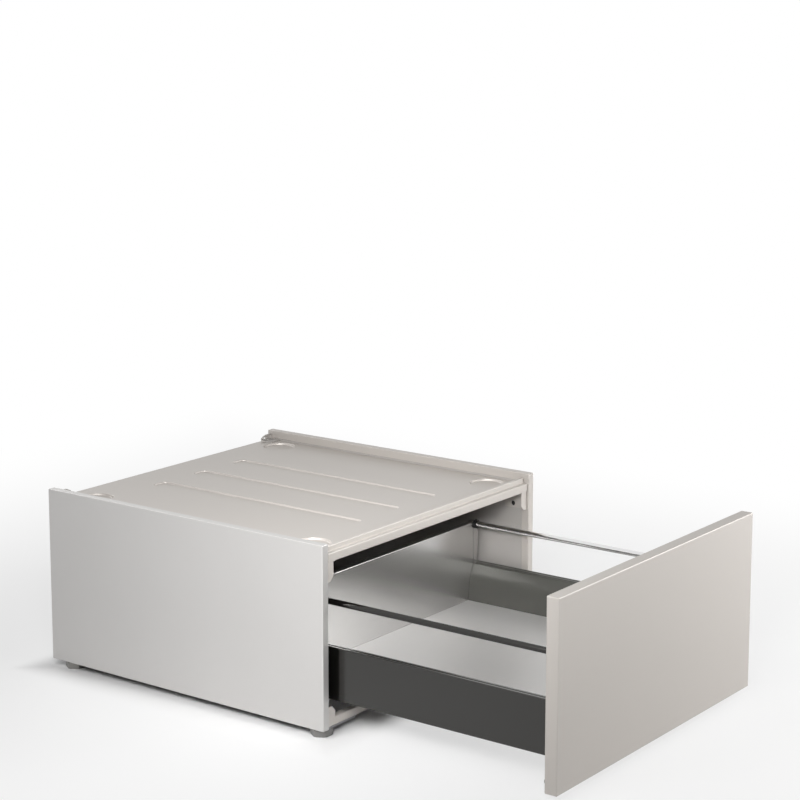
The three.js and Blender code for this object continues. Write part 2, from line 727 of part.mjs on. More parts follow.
// Post beside the back panel that carries it and the rod's rear end.
function backHolder(side) {
  const post = box(
    [side * (backHalf + seatGap), side * (backHalf + seatGap + holderWidth)],
    [boxRear, boxRear + holderDepth],
    [ledgeBottom, drawerBackTop],
  );
  const bore = [boxRear - over, rodRear + seatGap];
  return cut(post, cylinder(rodDiameter / 2 + rodFit, 'Y', bore, [side * rodX, rodZ]));
}

function galleryRod(side) {
  return cylinder(rodDiameter / 2, 'Y', [rodFront, rodRear], [side * rodX, rodZ]);
}

function rodSocket(side) {
  const place = [side * rodX, rodZ];
  const body = cylinder(socketDiameter / 2, 'Y', [boxFront, boxFront + socketLength], place);
  const bore = [rodFront - seatGap, boxFront + socketLength + over];
  return cut(body, cylinder(rodDiameter / 2 + rodFit, 'Y', bore, place));
}

// Angle inside the hollow side that screws it to the front.
function frontFixing(side) {
  const outer = sideOuter - sideSheet - seatGap;
  const height = [floorTop, floorTop + fixingHeight];
  const flange = box([side * outer, side * (outer - fixingWidth)],
    [boxFront, boxFront + fixingSheet], height);
  const web = box([side * outer, side * (outer - fixingSheet)],
    [boxFront, boxFront + fixingDepth], height);
  return join(flange, web);
}

// ---------------------------------------------------------------- drawer front
// Folded tray with round edges, closed from behind by a flat plate.
function frontSkin() {
  const across = [-frontHalf, frontHalf];
  const depth = [frontFace, frontBack];
  const height = [frontBottom, frontTop];
  const plan = extrude(roundedRectangle(across, depth, frontEdgeRadius), 'XY', height);
  const section = extrude(roundedRectangle(depth, height, frontEdgeRadius), 'YZ', across);
  const inset = (limits, by) => [limits[0] + by, limits[1] - by];
  const pocket = box(inset(across, frontSheet), inset(depth, frontSheet), inset(height, frontSheet));
  const opening = box(
    inset(across, frontReturn),
    [frontBack - 2 * frontSheet, frontBack + over],
    inset(height, frontReturn),
  );
  return cut(plan.intersect(section), pocket, opening);
}

function frontBackPlate() {
  const margin = frontReturn + seatGap;
  return box(
    [-(frontHalf - margin), frontHalf - margin],
    [frontBack - backPlateSheet, frontBack],
    [frontBottom + margin, frontTop - margin],
  );
}

// Buffer that meets the panel's front edge when the drawer is shut.
function bumper(side, z) {
  const span = [boxFront, frontBack + frontGap - seatGap];
  return cylinder(bumperDiameter / 2, 'Y', span, [side * (halfWidth - panelThickness / 2), z], 16);
}

// ---------------------------------------------------------------- assembly
add('top_deck', topDeck(), coated);
stiffenerCentres.forEach((x, i) => add(`deck_stiffener_${sides[i][0]}`, deckStiffener(x), galvanised));
add('front_top_rail', frontTopRail(), coated);
add('front_bottom_rail', frontBottomRail(), coated);
add('rear_top_rail', rearRail(underDeck - rearRailFace, rearTopReturn), frameSteel);
add('rear_bottom_rail', rearRail(bottomRailBottom, rearBottomReturn), frameSteel);
add('rear_panel', rearPanel(), galvanised);
add('drawer_floor', drawerFloor(), stainless);
add('drawer_back', drawerBack(), stainless);
add('drawer_front_skin', frontSkin(), coated);
add('drawer_front_backplate', frontBackPlate(), coated);

for (const [name, side] of sides) {
  add(`side_panel_${name}`, sidePanel(side), coated);
  add(`side_liner_${name}`, sideLiner(side), frameSteel);
  add(`front_bracket_${name}`, frontBracket(side), coated);
  add(`rear_bracket_${name}`, rearBracket(side), galvanised);
  add(`rear_stop_${name}`, rearStop(side), frameSteel);
  add(`cabinet_runner_${name}`, cabinetRunner(side), zinc);
  add(`middle_runner_${name}`, middleRunner(side), zinc);
  add(`drawer_runner_${name}`, drawerRunner(side), zinc);
  add(`drawer_side_${name}`, drawerSide(side), drawerSideSteel);
  add(`back_holder_${name}`, backHolder(side), stainless);
  add(`gallery_rod_${name}`, galleryRod(side), polished);
  add(`rod_socket_${name}`, rodSocket(side), darkPlastic);
  add(`front_fixing_${name}`, frontFixing(side), zinc);
  add(`upper_bumper_${name}`, bumper(side, frontTop - bumperInset), rubber);
  add(`lower_bumper_${name}`, bumper(side, frontBottom + bumperInset), rubber);
  for (const [where, end] of ends) {
    add(`foot_plate_${where}_${name}`, footPlate(side, end), galvanised);
    add(`foot_${where}_${name}`, foot(side, end), footMetal);
    add(`lock_nut_${where}_${name}`, lockNut(side, end), zinc);
  }
}

// Origin at the middle of the footprint, as the drawer stands.
const footprintMiddle = (frontFace + cabinetDepth) / 2;
for (const mesh of group.children) mesh.position.y = -footprintMiddle;

export default group;
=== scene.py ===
"""Pedestal with a drawer: visible pieces, finishes and studio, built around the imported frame."""

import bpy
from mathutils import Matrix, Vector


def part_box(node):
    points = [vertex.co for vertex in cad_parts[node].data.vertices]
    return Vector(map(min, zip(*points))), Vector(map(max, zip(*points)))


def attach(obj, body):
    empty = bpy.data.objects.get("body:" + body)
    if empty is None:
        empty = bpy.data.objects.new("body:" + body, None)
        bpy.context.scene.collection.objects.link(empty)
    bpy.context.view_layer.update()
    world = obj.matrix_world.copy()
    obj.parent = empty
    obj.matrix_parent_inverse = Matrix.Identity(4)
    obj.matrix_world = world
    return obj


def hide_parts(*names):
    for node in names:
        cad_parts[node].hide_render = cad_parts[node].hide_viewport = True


bl_info = {
    "name": "Pedestal Drawer",
    "version": (1, 0, 0),
    "blender": (4, 5, 0),
    "location": "3D View > Sidebar > Pedestal",
    "description": "Builds the folded sheets, drawer, feet, finishes and studio of a pedestal",
    "category": "Object",
}

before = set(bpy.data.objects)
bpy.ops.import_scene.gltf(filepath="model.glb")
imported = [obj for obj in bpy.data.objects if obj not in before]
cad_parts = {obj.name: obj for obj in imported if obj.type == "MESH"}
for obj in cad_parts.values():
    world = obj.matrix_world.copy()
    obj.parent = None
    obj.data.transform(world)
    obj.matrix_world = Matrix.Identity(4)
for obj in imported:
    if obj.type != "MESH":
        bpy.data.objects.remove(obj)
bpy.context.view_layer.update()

import math

import bmesh
import bpy
from bpy.props import FloatProperty, FloatVectorProperty, IntProperty, PointerProperty
from mathutils import Matrix, Vector

MM = 0.001
SIDES = (("left", -1), ("right", 1))
ENDS = ("front", "rear")
X, Y, Z = Vector((1, 0, 0)), Vector((0, 1, 0)), Vector((0, 0, 1))
AXES = {"X": X, "Y": Y, "Z": Z}
GAP = 0.3 * MM  # left between two sheets
SAME = 1e-6  # places nearer than this count as one
ALIKE = 0.99  # cosine above which two directions count as one
SHARP = math.radians(38.0)  # edges sharper than this are shaded sharp
BROKEN = math.radians(50.0)  # edges sharper than this are broken on plain parts


# ---- shapes
def spot(axis, a, b, along):
    """Point from its two places across an axis, in X, Y, Z order, and its place along it."""
    return {"X": Vector((along, a, b)), "Y": Vector((a, along, b)), "Z": Vector((a, b, along))}[axis]


def rounded(bm, geom, radius, segments, affect):
    """Rounds edges or corners; only edges give way where room is short."""
    bmesh.ops.bevel(
        bm, geom=geom, offset=radius, segments=segments,
        profile=0.5, affect=affect, clamp_overlap=affect == "EDGES", material=-1,
    )


def round_edges(bm, edges, radius, segments):
    rounded(bm, edges, radius, segments, "EDGES")


def soften(bm, width):
    """Breaks the sharp edges."""
    edges = [e for e in bm.edges if len(e.link_faces) == 2 and e.calc_face_angle(0.0) > BROKEN]
    round_edges(bm, edges, width, 1)


def slab(lo, hi, radius=0.0, segments=3):
    """Block between two corners, with its edges rounded where a radius is given."""
    low = Vector([min(pair) for pair in zip(lo, hi)])
    high = Vector([max(pair) for pair in zip(lo, hi)])
    bm = bmesh.new()
    bmesh.ops.create_cube(bm, size=1.0)
    bmesh.ops.scale(bm, verts=bm.verts, vec=high - low)
    bmesh.ops.translate(bm, verts=bm.verts, vec=(low + high) / 2)
    if radius:
        round_edges(bm, bm.edges[:], radius, segments)
    return bm


def wire(bm, points, closed=False, segments=4):
    """Chain of edges through points; a fourth number is the radius that rounds that corner."""
    verts = [bm.verts.new(point[:3]) for point in points]
    pairs = list(zip(verts, verts[1:])) + ([(verts[-1], verts[0])] if closed else [])
    for pair in pairs:
        bm.edges.new(pair)
    before = set(bm.edges) - {e for v in verts for e in v.link_edges}
    for vert, point in zip(verts, points):
        if len(point) > 3 and point[3]:
            rounded(bm, [vert], point[3], segments, "VERTICES")
    return [e for e in bm.edges if e not in before]


def ring(bm, radius, matrix, segments):
    """Circle of edges."""
    before = set(bm.edges)
    bmesh.ops.create_circle(bm, segments=segments, radius=radius, matrix=matrix)
    return [e for e in bm.edges if e not in before]


def rectangle(low, high, radius):
    """Corners of a rectangle, each with the radius that rounds it."""
    places = (low, (high[0], low[1]), high, (low[0], high[1]))
    return [(*place, radius) for place in places]


def corners(points, axis, along):
    """The same points across an axis, set at one place along it, with any radius kept."""
    return [(*spot(axis, p[0], p[1], along), *p[2:]) for p in points]


def outlined(points, axis, along):
    """New shape with a closed outline, and that outline's edges."""
    bm = bmesh.new()
    return bm, wire(bm, corners(points, axis, along), closed=True)


def pull(bm, edges, way):
    """Draws edges out into faces."""
    made = bmesh.ops.extrude_edge_only(bm, edges=edges)["geom"]
    bmesh.ops.translate(bm, verts=[g for g in made if isinstance(g, bmesh.types.BMVert)], vec=way)


def flanged(bm, edges, way, radius, segments=3):
    """Draws edges out into a flange and rounds the fold."""
    pull(bm, edges, way)
    round_edges(bm, [e for e in edges if e.is_valid], radius, segments)


def open_edges(bm, test):
    """Edges of a single face whose ends both pass a test of their place."""
    return [e for e in bm.edges if len(e.link_faces) == 1 and all(test(v.co) for v in e.verts)]


def near(a, b):
    return abs(a - b) < SAME


def largest(faces):
    return max(faces, key=lambda f: f.calc_area())


def align(bm):
    """Makes a shape's normals agree."""
    bmesh.ops.recalc_face_normals(bm, faces=bm.faces)


def facing(faces, way):
    """Turns over the faces that look away from a direction."""
    for face in faces:
        face.normal_update()
        if face.normal.dot(way) < 0:
            face.normal_flip()


def filled(bm, edges):
    """Fills loops of edges round their holes."""
    bmesh.ops.triangle_fill(bm, use_beauty=True, use_dissolve=False, edges=edges)


def both(stem):
    """Left and right one of a frame node: name, sign, two corners, outer and inner X."""
    for name, side in SIDES:
        lo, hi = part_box(f"{stem}_{name}")
        yield name, side, lo, hi, *((hi.x, lo.x) if side > 0 else (lo.x, hi.x))


def thicken(bm, sheet, way=None):
    """Gives a surface its wall, on the side away from its normals. Given a direction, its furthest
    face along it first looks that way."""
    if way:
        align(bm)
        reach = max(v.co.dot(way) for v in bm.verts)
        ends = [f for f in bm.faces if all(reach - v.co.dot(way) < 0.02 * MM for v in f.verts)]
        if largest(ends).normal.dot(way) < 0:
            bmesh.ops.reverse_faces(bm, faces=bm.faces)
    bmesh.ops.solidify(bm, geom=bm.faces[:], thickness=sheet)
    align(bm)


def turned(profile, axis, place, steps=48):
    """Shape turned about an axis from (radius, height) points that start and end on it."""
    bm = bmesh.new()
    start = Y if axis == "X" else X
    centre = spot(axis, *place, 0.0)
    chain = [centre + start * radius + AXES[axis] * height for radius, height in profile]
    edges = wire(bm, [tuple(point) for point in chain])
    bmesh.ops.spin(
        bm, geom=bm.verts[:] + edges, cent=centre, axis=AXES[axis], angle=math.tau,
        steps=steps, use_merge=True,
    )
    bmesh.ops.remove_doubles(bm, verts=bm.verts, dist=SAME)
    align(bm)
    return bm


def bar(radius, axis, span, place, edge=0.0, steps=32):
    """Round bar, with chamfered ends where an edge is given."""
    low, high = min(span), max(span)
    profile = [(0, low), (radius - edge, low), (radius, low + edge),
               (radius, high - edge), (radius - edge, high), (0, high)]
    return turned(list(dict.fromkeys(profile)), axis, place, steps)


def tray(lo, hi, way, fold, lip, sheet, segments=4):
    """Tray with round edges, open one way, whose rim turns in by the lip."""
    bm = slab(lo, hi, fold, segments)
    mouth = largest(f for f in bm.faces if f.normal.dot(way) > ALIKE)
    if lip:
        bmesh.ops.inset_region(
            bm, faces=[mouth], thickness=lip, use_even_offset=True, use_boundary=True,
        )
    bmesh.ops.delete(bm, geom=[mouth], context="FACES")
    thicken(bm, sheet)
    return bm


def press(bm, outline, depth, radius, steps=3, slope=math.radians(75.0)):
    """Fills a loop of edges in a sheet and presses the filling down, with round shoulders."""
    face = bmesh.ops.contextual_create(bm, geom=outline)["faces"][0]
    facing([face], Z)
    turns = [slope * k / steps for k in range(steps + 1)]
    arc = [(radius * math.sin(a), radius * (1 - math.cos(a))) for a in turns]
    down = [(b[0] - a[0], b[1] - a[1]) for a, b in zip(arc, arc[1:])]
    wall = depth - 2 * arc[-1][1]
    for across, drop in [*down, (wall / math.tan(slope), wall), *reversed(down)]:
        bmesh.ops.inset_region(
            bm, faces=[face], thickness=across, depth=-drop, use_even_offset=True, use_boundary=True,
        )


def linked(made):
    """Puts an object in the scene."""
    bpy.context.scene.collection.objects.link(made)
    return made


def placed(name, bm):
    """Makes an object of a shape."""
    mesh = bpy.data.meshes.new(name)
    bm.to_mesh(mesh)
    bm.free()
    return linked(bpy.data.objects.new(name, mesh))


def combined(bm, tool, operation):
    """Takes a closed shape out of another, or keeps what they share."""
    body, cutter = placed("tool", bm), placed("tool", tool)
    modifier = body.modifiers.new("cut", "BOOLEAN")
    modifier.operation = operation
    modifier.solver = "EXACT"
    modifier.object = cutter
    result = bmesh.new()
    result.from_object(body, bpy.context.evaluated_depsgraph_get())
    for made in (body, cutter):
        mesh = made.data
        bpy.data.objects.remove(made)
        bpy.data.meshes.remove(mesh)
    return result


def cut(bm, *tools):
    """Takes closed shapes out of another, one by one."""
    for tool in tools:
        bm = combined(bm, tool, "DIFFERENCE")
    return bm


def merged_copy(node):
    """Copy of a frame node with its loose triangles merged into clean faces."""
    bm = bmesh.new()
    bm.from_mesh(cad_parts[node].data)
    bmesh.ops.remove_doubles(bm, verts=bm.verts, dist=SAME)
    bmesh.ops.dissolve_limit(bm, angle_limit=math.radians(0.5), verts=bm.verts, edges=bm.edges)
    return bm


def append(bm, other):
    """Adds another shape's faces to a shape."""
    mesh = bpy.data.meshes.new("part")
    other.to_mesh(mesh)
    other.free()
    bm.from_mesh(mesh)
    bpy.data.meshes.remove(mesh)


def piece(name, bm, body, slot, replaces=(), grade=""):
    """Makes a finished piece of a shape: smooth faces, sharp edges, its finish and its body."""
    for face in bm.faces:
        face.smooth = True
        face.material_index = 0
    for edge in bm.edges:
        edge.smooth = edge.calc_face_angle(0.0) < SHARP
    made = placed(name, bm)
    made.data.materials.append(finish(slot + grade))
    made.modifiers.new("even shading", "WEIGHTED_NORMAL").keep_sharp = True
    if replaces:
        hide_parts(*replaces)
    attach(made, body)


def softened(name, node, body, slot, times=1, grade=""):
    """Piece made from a frame node, with its sharp edges broken."""
    bm = merged_copy(node)
    soften(bm, times * bpy.context.scene.pedestal_sizes.edge)
    piece(name, bm, body, slot, [node], grade)


# ---- finishes
MIX_SOCKETS = {"FLOAT": (2, 3, 0), "VECTOR": (4, 5, 1), "RGBA": (6, 7, 2)}  # two inputs and the result


def give(tree, socket, value):
    """Sets a socket, or links it where it is given an output."""
    if isinstance(value, bpy.types.NodeSocket):
        tree.links.new(value, socket)
    else:
        socket.default_value = value


def feed(tree, node, **inputs):
    """Sets a node's inputs by their names."""
    for key, value in inputs.items():
        give(tree, node.inputs[key.replace("_", " ")], value)
    return node


def shader(tree, kind, **inputs):
    """Adds a shader node with its inputs."""
    return feed(tree, tree.nodes.new(kind), **inputs)


def mixed(tree, kind, factor, first, second):
    """Blend of two numbers, vectors or colours."""
    node = tree.nodes.new("ShaderNodeMix")
    node.data_type = kind
    low, high, result = MIX_SOCKETS[kind]
    for key, value in (("Factor", factor), (low, first), (high, second)):
        give(tree, node.inputs[key], value)
    return node.outputs[result]


def maths(tree, operation, first, second=0.0):
    """Result of a sum on two values, each a socket or a number."""
    node = tree.nodes.new("ShaderNodeMath")
    node.operation = operation
    for socket, value in zip(node.inputs, (first, second)):
        give(tree, socket, value)
    return node.outputs[0]


def start_finish(name):
    """New material: its tree, its surface node and the place on the piece."""
    material = bpy.data.materials.new(name)
    material.use_nodes = True
    tree = material.node_tree
    surface = tree.nodes["Principled BSDF"]
    return material, tree, surface, tree.nodes.new("ShaderNodeTexCoord").outputs["Object"]


def grain(tree, vector, scale, stretch=(1, 1, 1), detail=3.0):
    """Noise with its own size, stretched along an axis where the surface is brushed."""
    mapped = shader(tree, "ShaderNodeMapping", Vector=vector, Scale=stretch)
    noise = shader(
        tree, "ShaderNodeTexNoise", Vector=mapped.outputs["Vector"], Scale=scale,
        Detail=detail, Roughness=0.55,
    )
    return noise.outputs["Fac"]


def ranged(tree, value, low=0.0, high=1.0):
    """Noise spread over a range from where most of it lies."""
    node = shader(
        tree, "ShaderNodeMapRange", Value=value, From_Min=0.3, From_Max=0.7, To_Min=low, To_Max=high,
    )
    return node.outputs["Result"]


def two_tone(tree, value, colour, contrast):
    """Colour that varies a little about its own value."""
    tones = [[*(min(1.0, c * (1 + change)) for c in colour[:3]), 1] for change in (-contrast, contrast)]
    return mixed(tree, "RGBA", value, *tones)


def bump(tree, height, strength, distance):
    node = shader(tree, "ShaderNodeBump", Height=height, Strength=strength, Distance=distance)
    return node.outputs["Normal"]


def coated(tree, place, colour, metallic, roughness, spread, lacquer=0.0):
    """Stoved coating on sheet: faint mottle, orange peel and an even satin gloss, or a lacquer on top."""
    mottle = ranged(tree, grain(tree, place, scale=5.0, detail=2.0))
    gloss = grain(tree, place, scale=60.0)
    peel = grain(tree, place, scale=900.0, detail=2.0)
    return dict(
        Base_Color=two_tone(tree, mottle, colour, contrast=0.012), Metallic=metallic,
        Roughness=ranged(tree, gloss, roughness - spread, roughness + spread),
        Coat_Weight=lacquer, Coat_Roughness=0.14,
        Normal=bump(tree, peel, strength=0.06, distance=0.06 * MM),
    )


def brushed(tree, place, colour, metallic, roughness, spread, stretch, contrast):
    """Metal sheet with fine streaks along the axis whose stretch is low."""
    streaks = grain(tree, place, scale=320.0, stretch=stretch, detail=4.0)
    return dict(
        Metallic=metallic,
        Base_Color=two_tone(tree, ranged(tree, streaks), colour, contrast),
        Roughness=ranged(tree, streaks, roughness - spread, roughness + spread),
        Normal=bump(tree, streaks, strength=0.012, distance=0.02 * MM),
    )


def spangled(tree, place, colour, metallic, roughness, spread, scale, contrast):
    """Zinc coat: crystals of slightly different brightness, with a little grain on each."""
    wobble = shader(tree, "ShaderNodeTexNoise", Vector=place, Scale=scale * 1.5, Detail=1.0)
    bent = mixed(tree, "VECTOR", 0.004, place, wobble.outputs["Color"])
    cells = shader(tree, "ShaderNodeTexVoronoi", Vector=bent, Scale=scale)
    value = shader(tree, "ShaderNodeSeparateColor", Color=cells.outputs["Color"]).outputs[0]
    gloss = shader(
        tree, "ShaderNodeMapRange", Value=value, To_Min=roughness - spread, To_Max=roughness + spread,
    )
    return dict(
        Base_Color=two_tone(tree, value, colour, contrast), Metallic=metallic,
        Roughness=gloss.outputs["Result"],
        Normal=bump(tree, grain(tree, place, scale=400.0), strength=0.06, distance=0.05 * MM),
    )


def moulded(tree, place, colour, roughness, scale, strength):
    """Moulded plastic or rubber with a fine eroded texture."""
    texture = grain(tree, place, scale, detail=4.0)
    return dict(
        Base_Color=two_tone(tree, ranged(tree, texture), colour, contrast=0.15),
        Roughness=ranged(tree, texture, roughness - 0.06, roughness + 0.06),
        Normal=bump(tree, texture, strength, distance=0.1 * MM),
    )


FINISHES = {
    # maker and its settings; one given as a name is read from the finishes' properties
    "coated_steel": (coated, dict(
        colour="coating", metallic=0.6, roughness="coating_gloss", spread=0.02)),
    # The frame pieces' finish: its colour is partly their coating and partly painted shade, darker than the
    # panels' coating
    "frame_steel": (coated, dict(
        colour="frame_coating", metallic=0.25, roughness=0.4, spread=0.03)),
    "drawer_side_steel": (coated, dict(
        colour="dark_coating", metallic=0.9, roughness=0.22, spread=0.015, lacquer=1.0)),
    "stainless": (brushed, dict(
        colour="stainless", metallic=0.3, roughness=0.36, spread=0.015, stretch=(0.03, 1, 1),
        contrast=0.012)),
    "stainless_bright": (brushed, dict(
        colour="back_sheet", metallic=0.92, roughness=0.23, spread=0.01, stretch=(0.03, 1, 1),
        contrast=0.01)),
    # The rods' finish: its colour is partly steel and partly painted dark reflection, far darker than
    # polished steel
    "polished_steel": (brushed, dict(
        colour="polished", metallic=1.0, roughness=0.1, spread=0.02, stretch=(1, 0.02, 1), contrast=0.02)),
    "zinc_plate": (brushed, dict(
        colour="zinc", metallic=1.0, roughness=0.36, spread=0.05, stretch=(1, 0.05, 1), contrast=0.06)),
    "galvanised": (spangled, dict(
        colour="galvanised", metallic=0.6, roughness=0.42, spread=0.07, scale=110.0, contrast=0.1)),
    "foot_metal": (brushed, dict(
        colour="foot_metal", metallic=0.4, roughness=0.32, spread=0.04, stretch=(1, 1, 0.1),
        contrast=0.06)),
    "dark_plastic": (moulded, dict(colour="plastic", roughness=0.5, scale=700.0, strength=0.12)),
    "rubber": (moulded, dict(colour="rubber", roughness=0.8, scale=500.0, strength=0.2)),
}
made_finishes = set()


def finish(name):
    """Makes a finish for the first piece that asks. Later pieces get the material that has the name,
    which is the frame's plain one where the frame has one too."""
    if name in made_finishes:
        return bpy.data.materials[name]
    made_finishes.add(name)
    colours = bpy.context.scene.pedestal_finishes
    maker, settings = FINISHES[name]
    settings = {
        key: getattr(colours, value) if isinstance(value, str) else value
        for key, value in settings.items()
    }
    material, tree, surface, place = start_finish(name)
    feed(tree, surface, **maker(tree, place, **settings))
    return material


# ---- settings
def number(name, description, default, **limits):
    return FloatProperty(name=name, description=description, default=default, **limits)


def length(name, description, default):
    return number(name, description, default, unit="LENGTH", min=0.0)


def tint(name, description, default):
    return FloatVectorProperty(
        name=name, description=description, default=default, subtype="COLOR", size=3, min=0.0, max=1.0,
    )


class PedestalSizes(bpy.types.PropertyGroup):
    """Sizes of the folds, edges and small forms"""

    panel_sheet: length("Panel sheet", "Wall of the folded panels", 1.2 * MM)
    panel_fold: length("Panel fold", "Radius of the side panels' edges", 1.5 * MM)
    front_fold: length("Front fold", "Radius of the drawer front's edges", 1.9 * MM)
    lip: length("Lip", "Width of the rims turned in round the trays", 14.0 * MM)
    relief: length("Corner relief", "Radius of the relief holes at the panels' corners", 0.75 * MM)
    rail_sheet: length("Rail sheet", "Wall of the front rails", 1.5 * MM)
    rail_fold: length("Rail fold", "Outside radius of the rails' folds", 1.8 * MM)
    bracket_sheet: length("Bracket sheet", "Wall of the front corner brackets", 1.8 * MM)
    ear_fold: length("Ear fold", "Outside radius where an ear turns back along a panel", 3.4 * MM)
    ear_width: length("Ear width", "Panel to the ears' inner edges", 17.5 * MM)
    ear_chamfer: length("Ear chamfer", "Corner taken off an ear", 8.0 * MM)
    rail_corner: length("Rail corner", "Radius of the top rail's lower corners", 3.0 * MM)
    deck_sheet: length("Deck sheet", "Wall of the deck", 1.5 * MM)
    shoulder: length("Pressed shoulder", "Radius at the wells' and beads' shoulders", 1.6 * MM)
    side_sheet: length("Side sheet", "Wall of the drawer sides", 0.7 * MM)
    groove: length("Seam groove", "Width of the groove along the drawer sides' tops", 3.0 * MM)
    groove_depth: length("Groove depth", "Depth of the groove along the drawer sides' tops", 1.6 * MM)
    edge: length("Broken edge", "Width of the broken edges on plain parts", 0.25 * MM)
    thread_pitch: length("Thread pitch", "Pitch of the feet's threads", 1.5 * MM)


class PedestalFinishes(bpy.types.PropertyGroup):
    """Colours and gloss of the finishes that are made"""

    coating: tint("Coating", "Silver-grey coating of the panels and the front", (0.56, 0.549, 0.538))
    coating_gloss: number("Coating roughness", "Roughness of the coating", 0.42, min=0.0, max=1.0)
    # Partly the frame's own coating, partly painted shade: darker than the panels' coating so that the
    # pieces inside the cabinet render shaded
    frame_coating: tint("Frame coating", "Coating of the liners, stops and rear rails", (0.45, 0.44, 0.426))
    dark_coating: tint("Dark coating", "Coating of the drawer sides", (0.023, 0.022, 0.0195))
    stainless: tint("Stainless", "Floor of the drawer", (0.58, 0.573, 0.563))
    back_sheet: tint("Back sheet", "Rolled steel of the drawer's back and holders", (0.56, 0.552, 0.542))
    # Partly the rods' steel, partly painted dark reflection: set far darker than polished steel so that the
    # rods render dark under the white surround
    polished: tint("Polished steel", "Gallery rods", (0.06, 0.059, 0.057))
    zinc: tint("Zinc plate", "Runners, nuts and fixings", (0.50, 0.50, 0.51))
    galvanised: tint("Galvanised", "Rear panel, foot plates and stiffeners", (0.36, 0.363, 0.366))
    foot_metal: tint("Foot metal", "Screw feet", (0.19, 0.186, 0.18))
    plastic: tint("Plastic", "Rod sockets, collars and keyhole plugs", (0.016, 0.016, 0.016))
    rubber: tint("Rubber", "Buffers", (0.022, 0.022, 0.022))


class PedestalStudio(bpy.types.PropertyGroup):
    """Camera, floor and lamps"""

    camera_place: FloatVectorProperty(
        name="Camera place", description="Where the camera stands", size=3, unit="LENGTH",
        default=(-2.7225, -2.0441, 1.1914),
    )
    camera_turn: number("Camera turn", "Heading of the camera", math.radians(-53.275), unit="ROTATION")
    camera_dip: number("Camera dip", "How far the camera looks down", math.radians(9.505), unit="ROTATION")
    camera_lens: number("Lens", "Focal length, in millimetres", 93.896)
    camera_shift: number("Shift", "Vertical shift of the lens", -0.1)
    floor: tint("Floor", "Colour of the floor", (0.86, 0.86, 0.86))
    floor_size: length("Floor size", "Half the width of the floor", 40.0)
    shade_edge: length("Shade edge", "Width past the cabinet over which its deep shade fades", 0.06)
    lit_floor: length("Lit floor", "Width past the cabinet where the floor shows light and shadow", 1.3)
    floor_lift: number("Floor lift", "How far the lit floor is lifted to white", 0.6, min=0.0, max=1.0)
    room_light: number("Room light", "Strength of the even light", 0.17, min=0.0)
    lamp_count: IntProperty(name="Lamps", description="How many of the lamps are used", default=6, min=0)


# ---- cabinet
class PEDESTAL_OT_side_panels(bpy.types.Operator):
    """Folded side panels with round edges, turned-in rims and corner relief holes"""

    bl_idname = "pedestal.side_panels"
    bl_label = "Side panels"

    def execute(self, context):
        sizes = context.scene.pedestal_sizes
        fold = sizes.panel_fold
        inset = 0.6 * sizes.relief
        for name, side, lo, hi, outer, _ in both("side_panel"):
            bm = tray(lo, hi, -side * X, fold, sizes.lip - fold, sizes.panel_sheet)
            for y, way in ((lo.y, 1), (hi.y, -1)):
                for z, rise in ((lo.z, 1), (hi.z, -1)):
                    hole = bmesh.new()
                    bmesh.ops.create_icosphere(hole, subdivisions=2, radius=sizes.relief)
                    centre = Vector((outer - side * inset, y + way * inset, z + rise * inset))
                    bmesh.ops.translate(hole, verts=hole.verts, vec=centre)
                    bm = cut(bm, hole)
            piece(f"panel_{name}", bm, "cabinet", "coated_steel", [f"side_panel_{name}"])
        return {"FINISHED"}


WELL_RADIUS, WELL_DEPTH = 30 * MM, 4 * MM
WELL_ASIDE = 37.5 * MM  # wells' centres, from the folded sides and from the rear rail
WELL_BEHIND = 51.7 * MM  # front wells' centres, from the front edge
BEADS = (-105 * MM, 0.0, 105 * MM)
BEAD_HALF, BEAD_DEPTH, BEAD_ROUND = 17 * MM, 3 * MM, 12 * MM
BEAD_CLEAR = 70 * MM  # beads' ends, from the front and rear edges


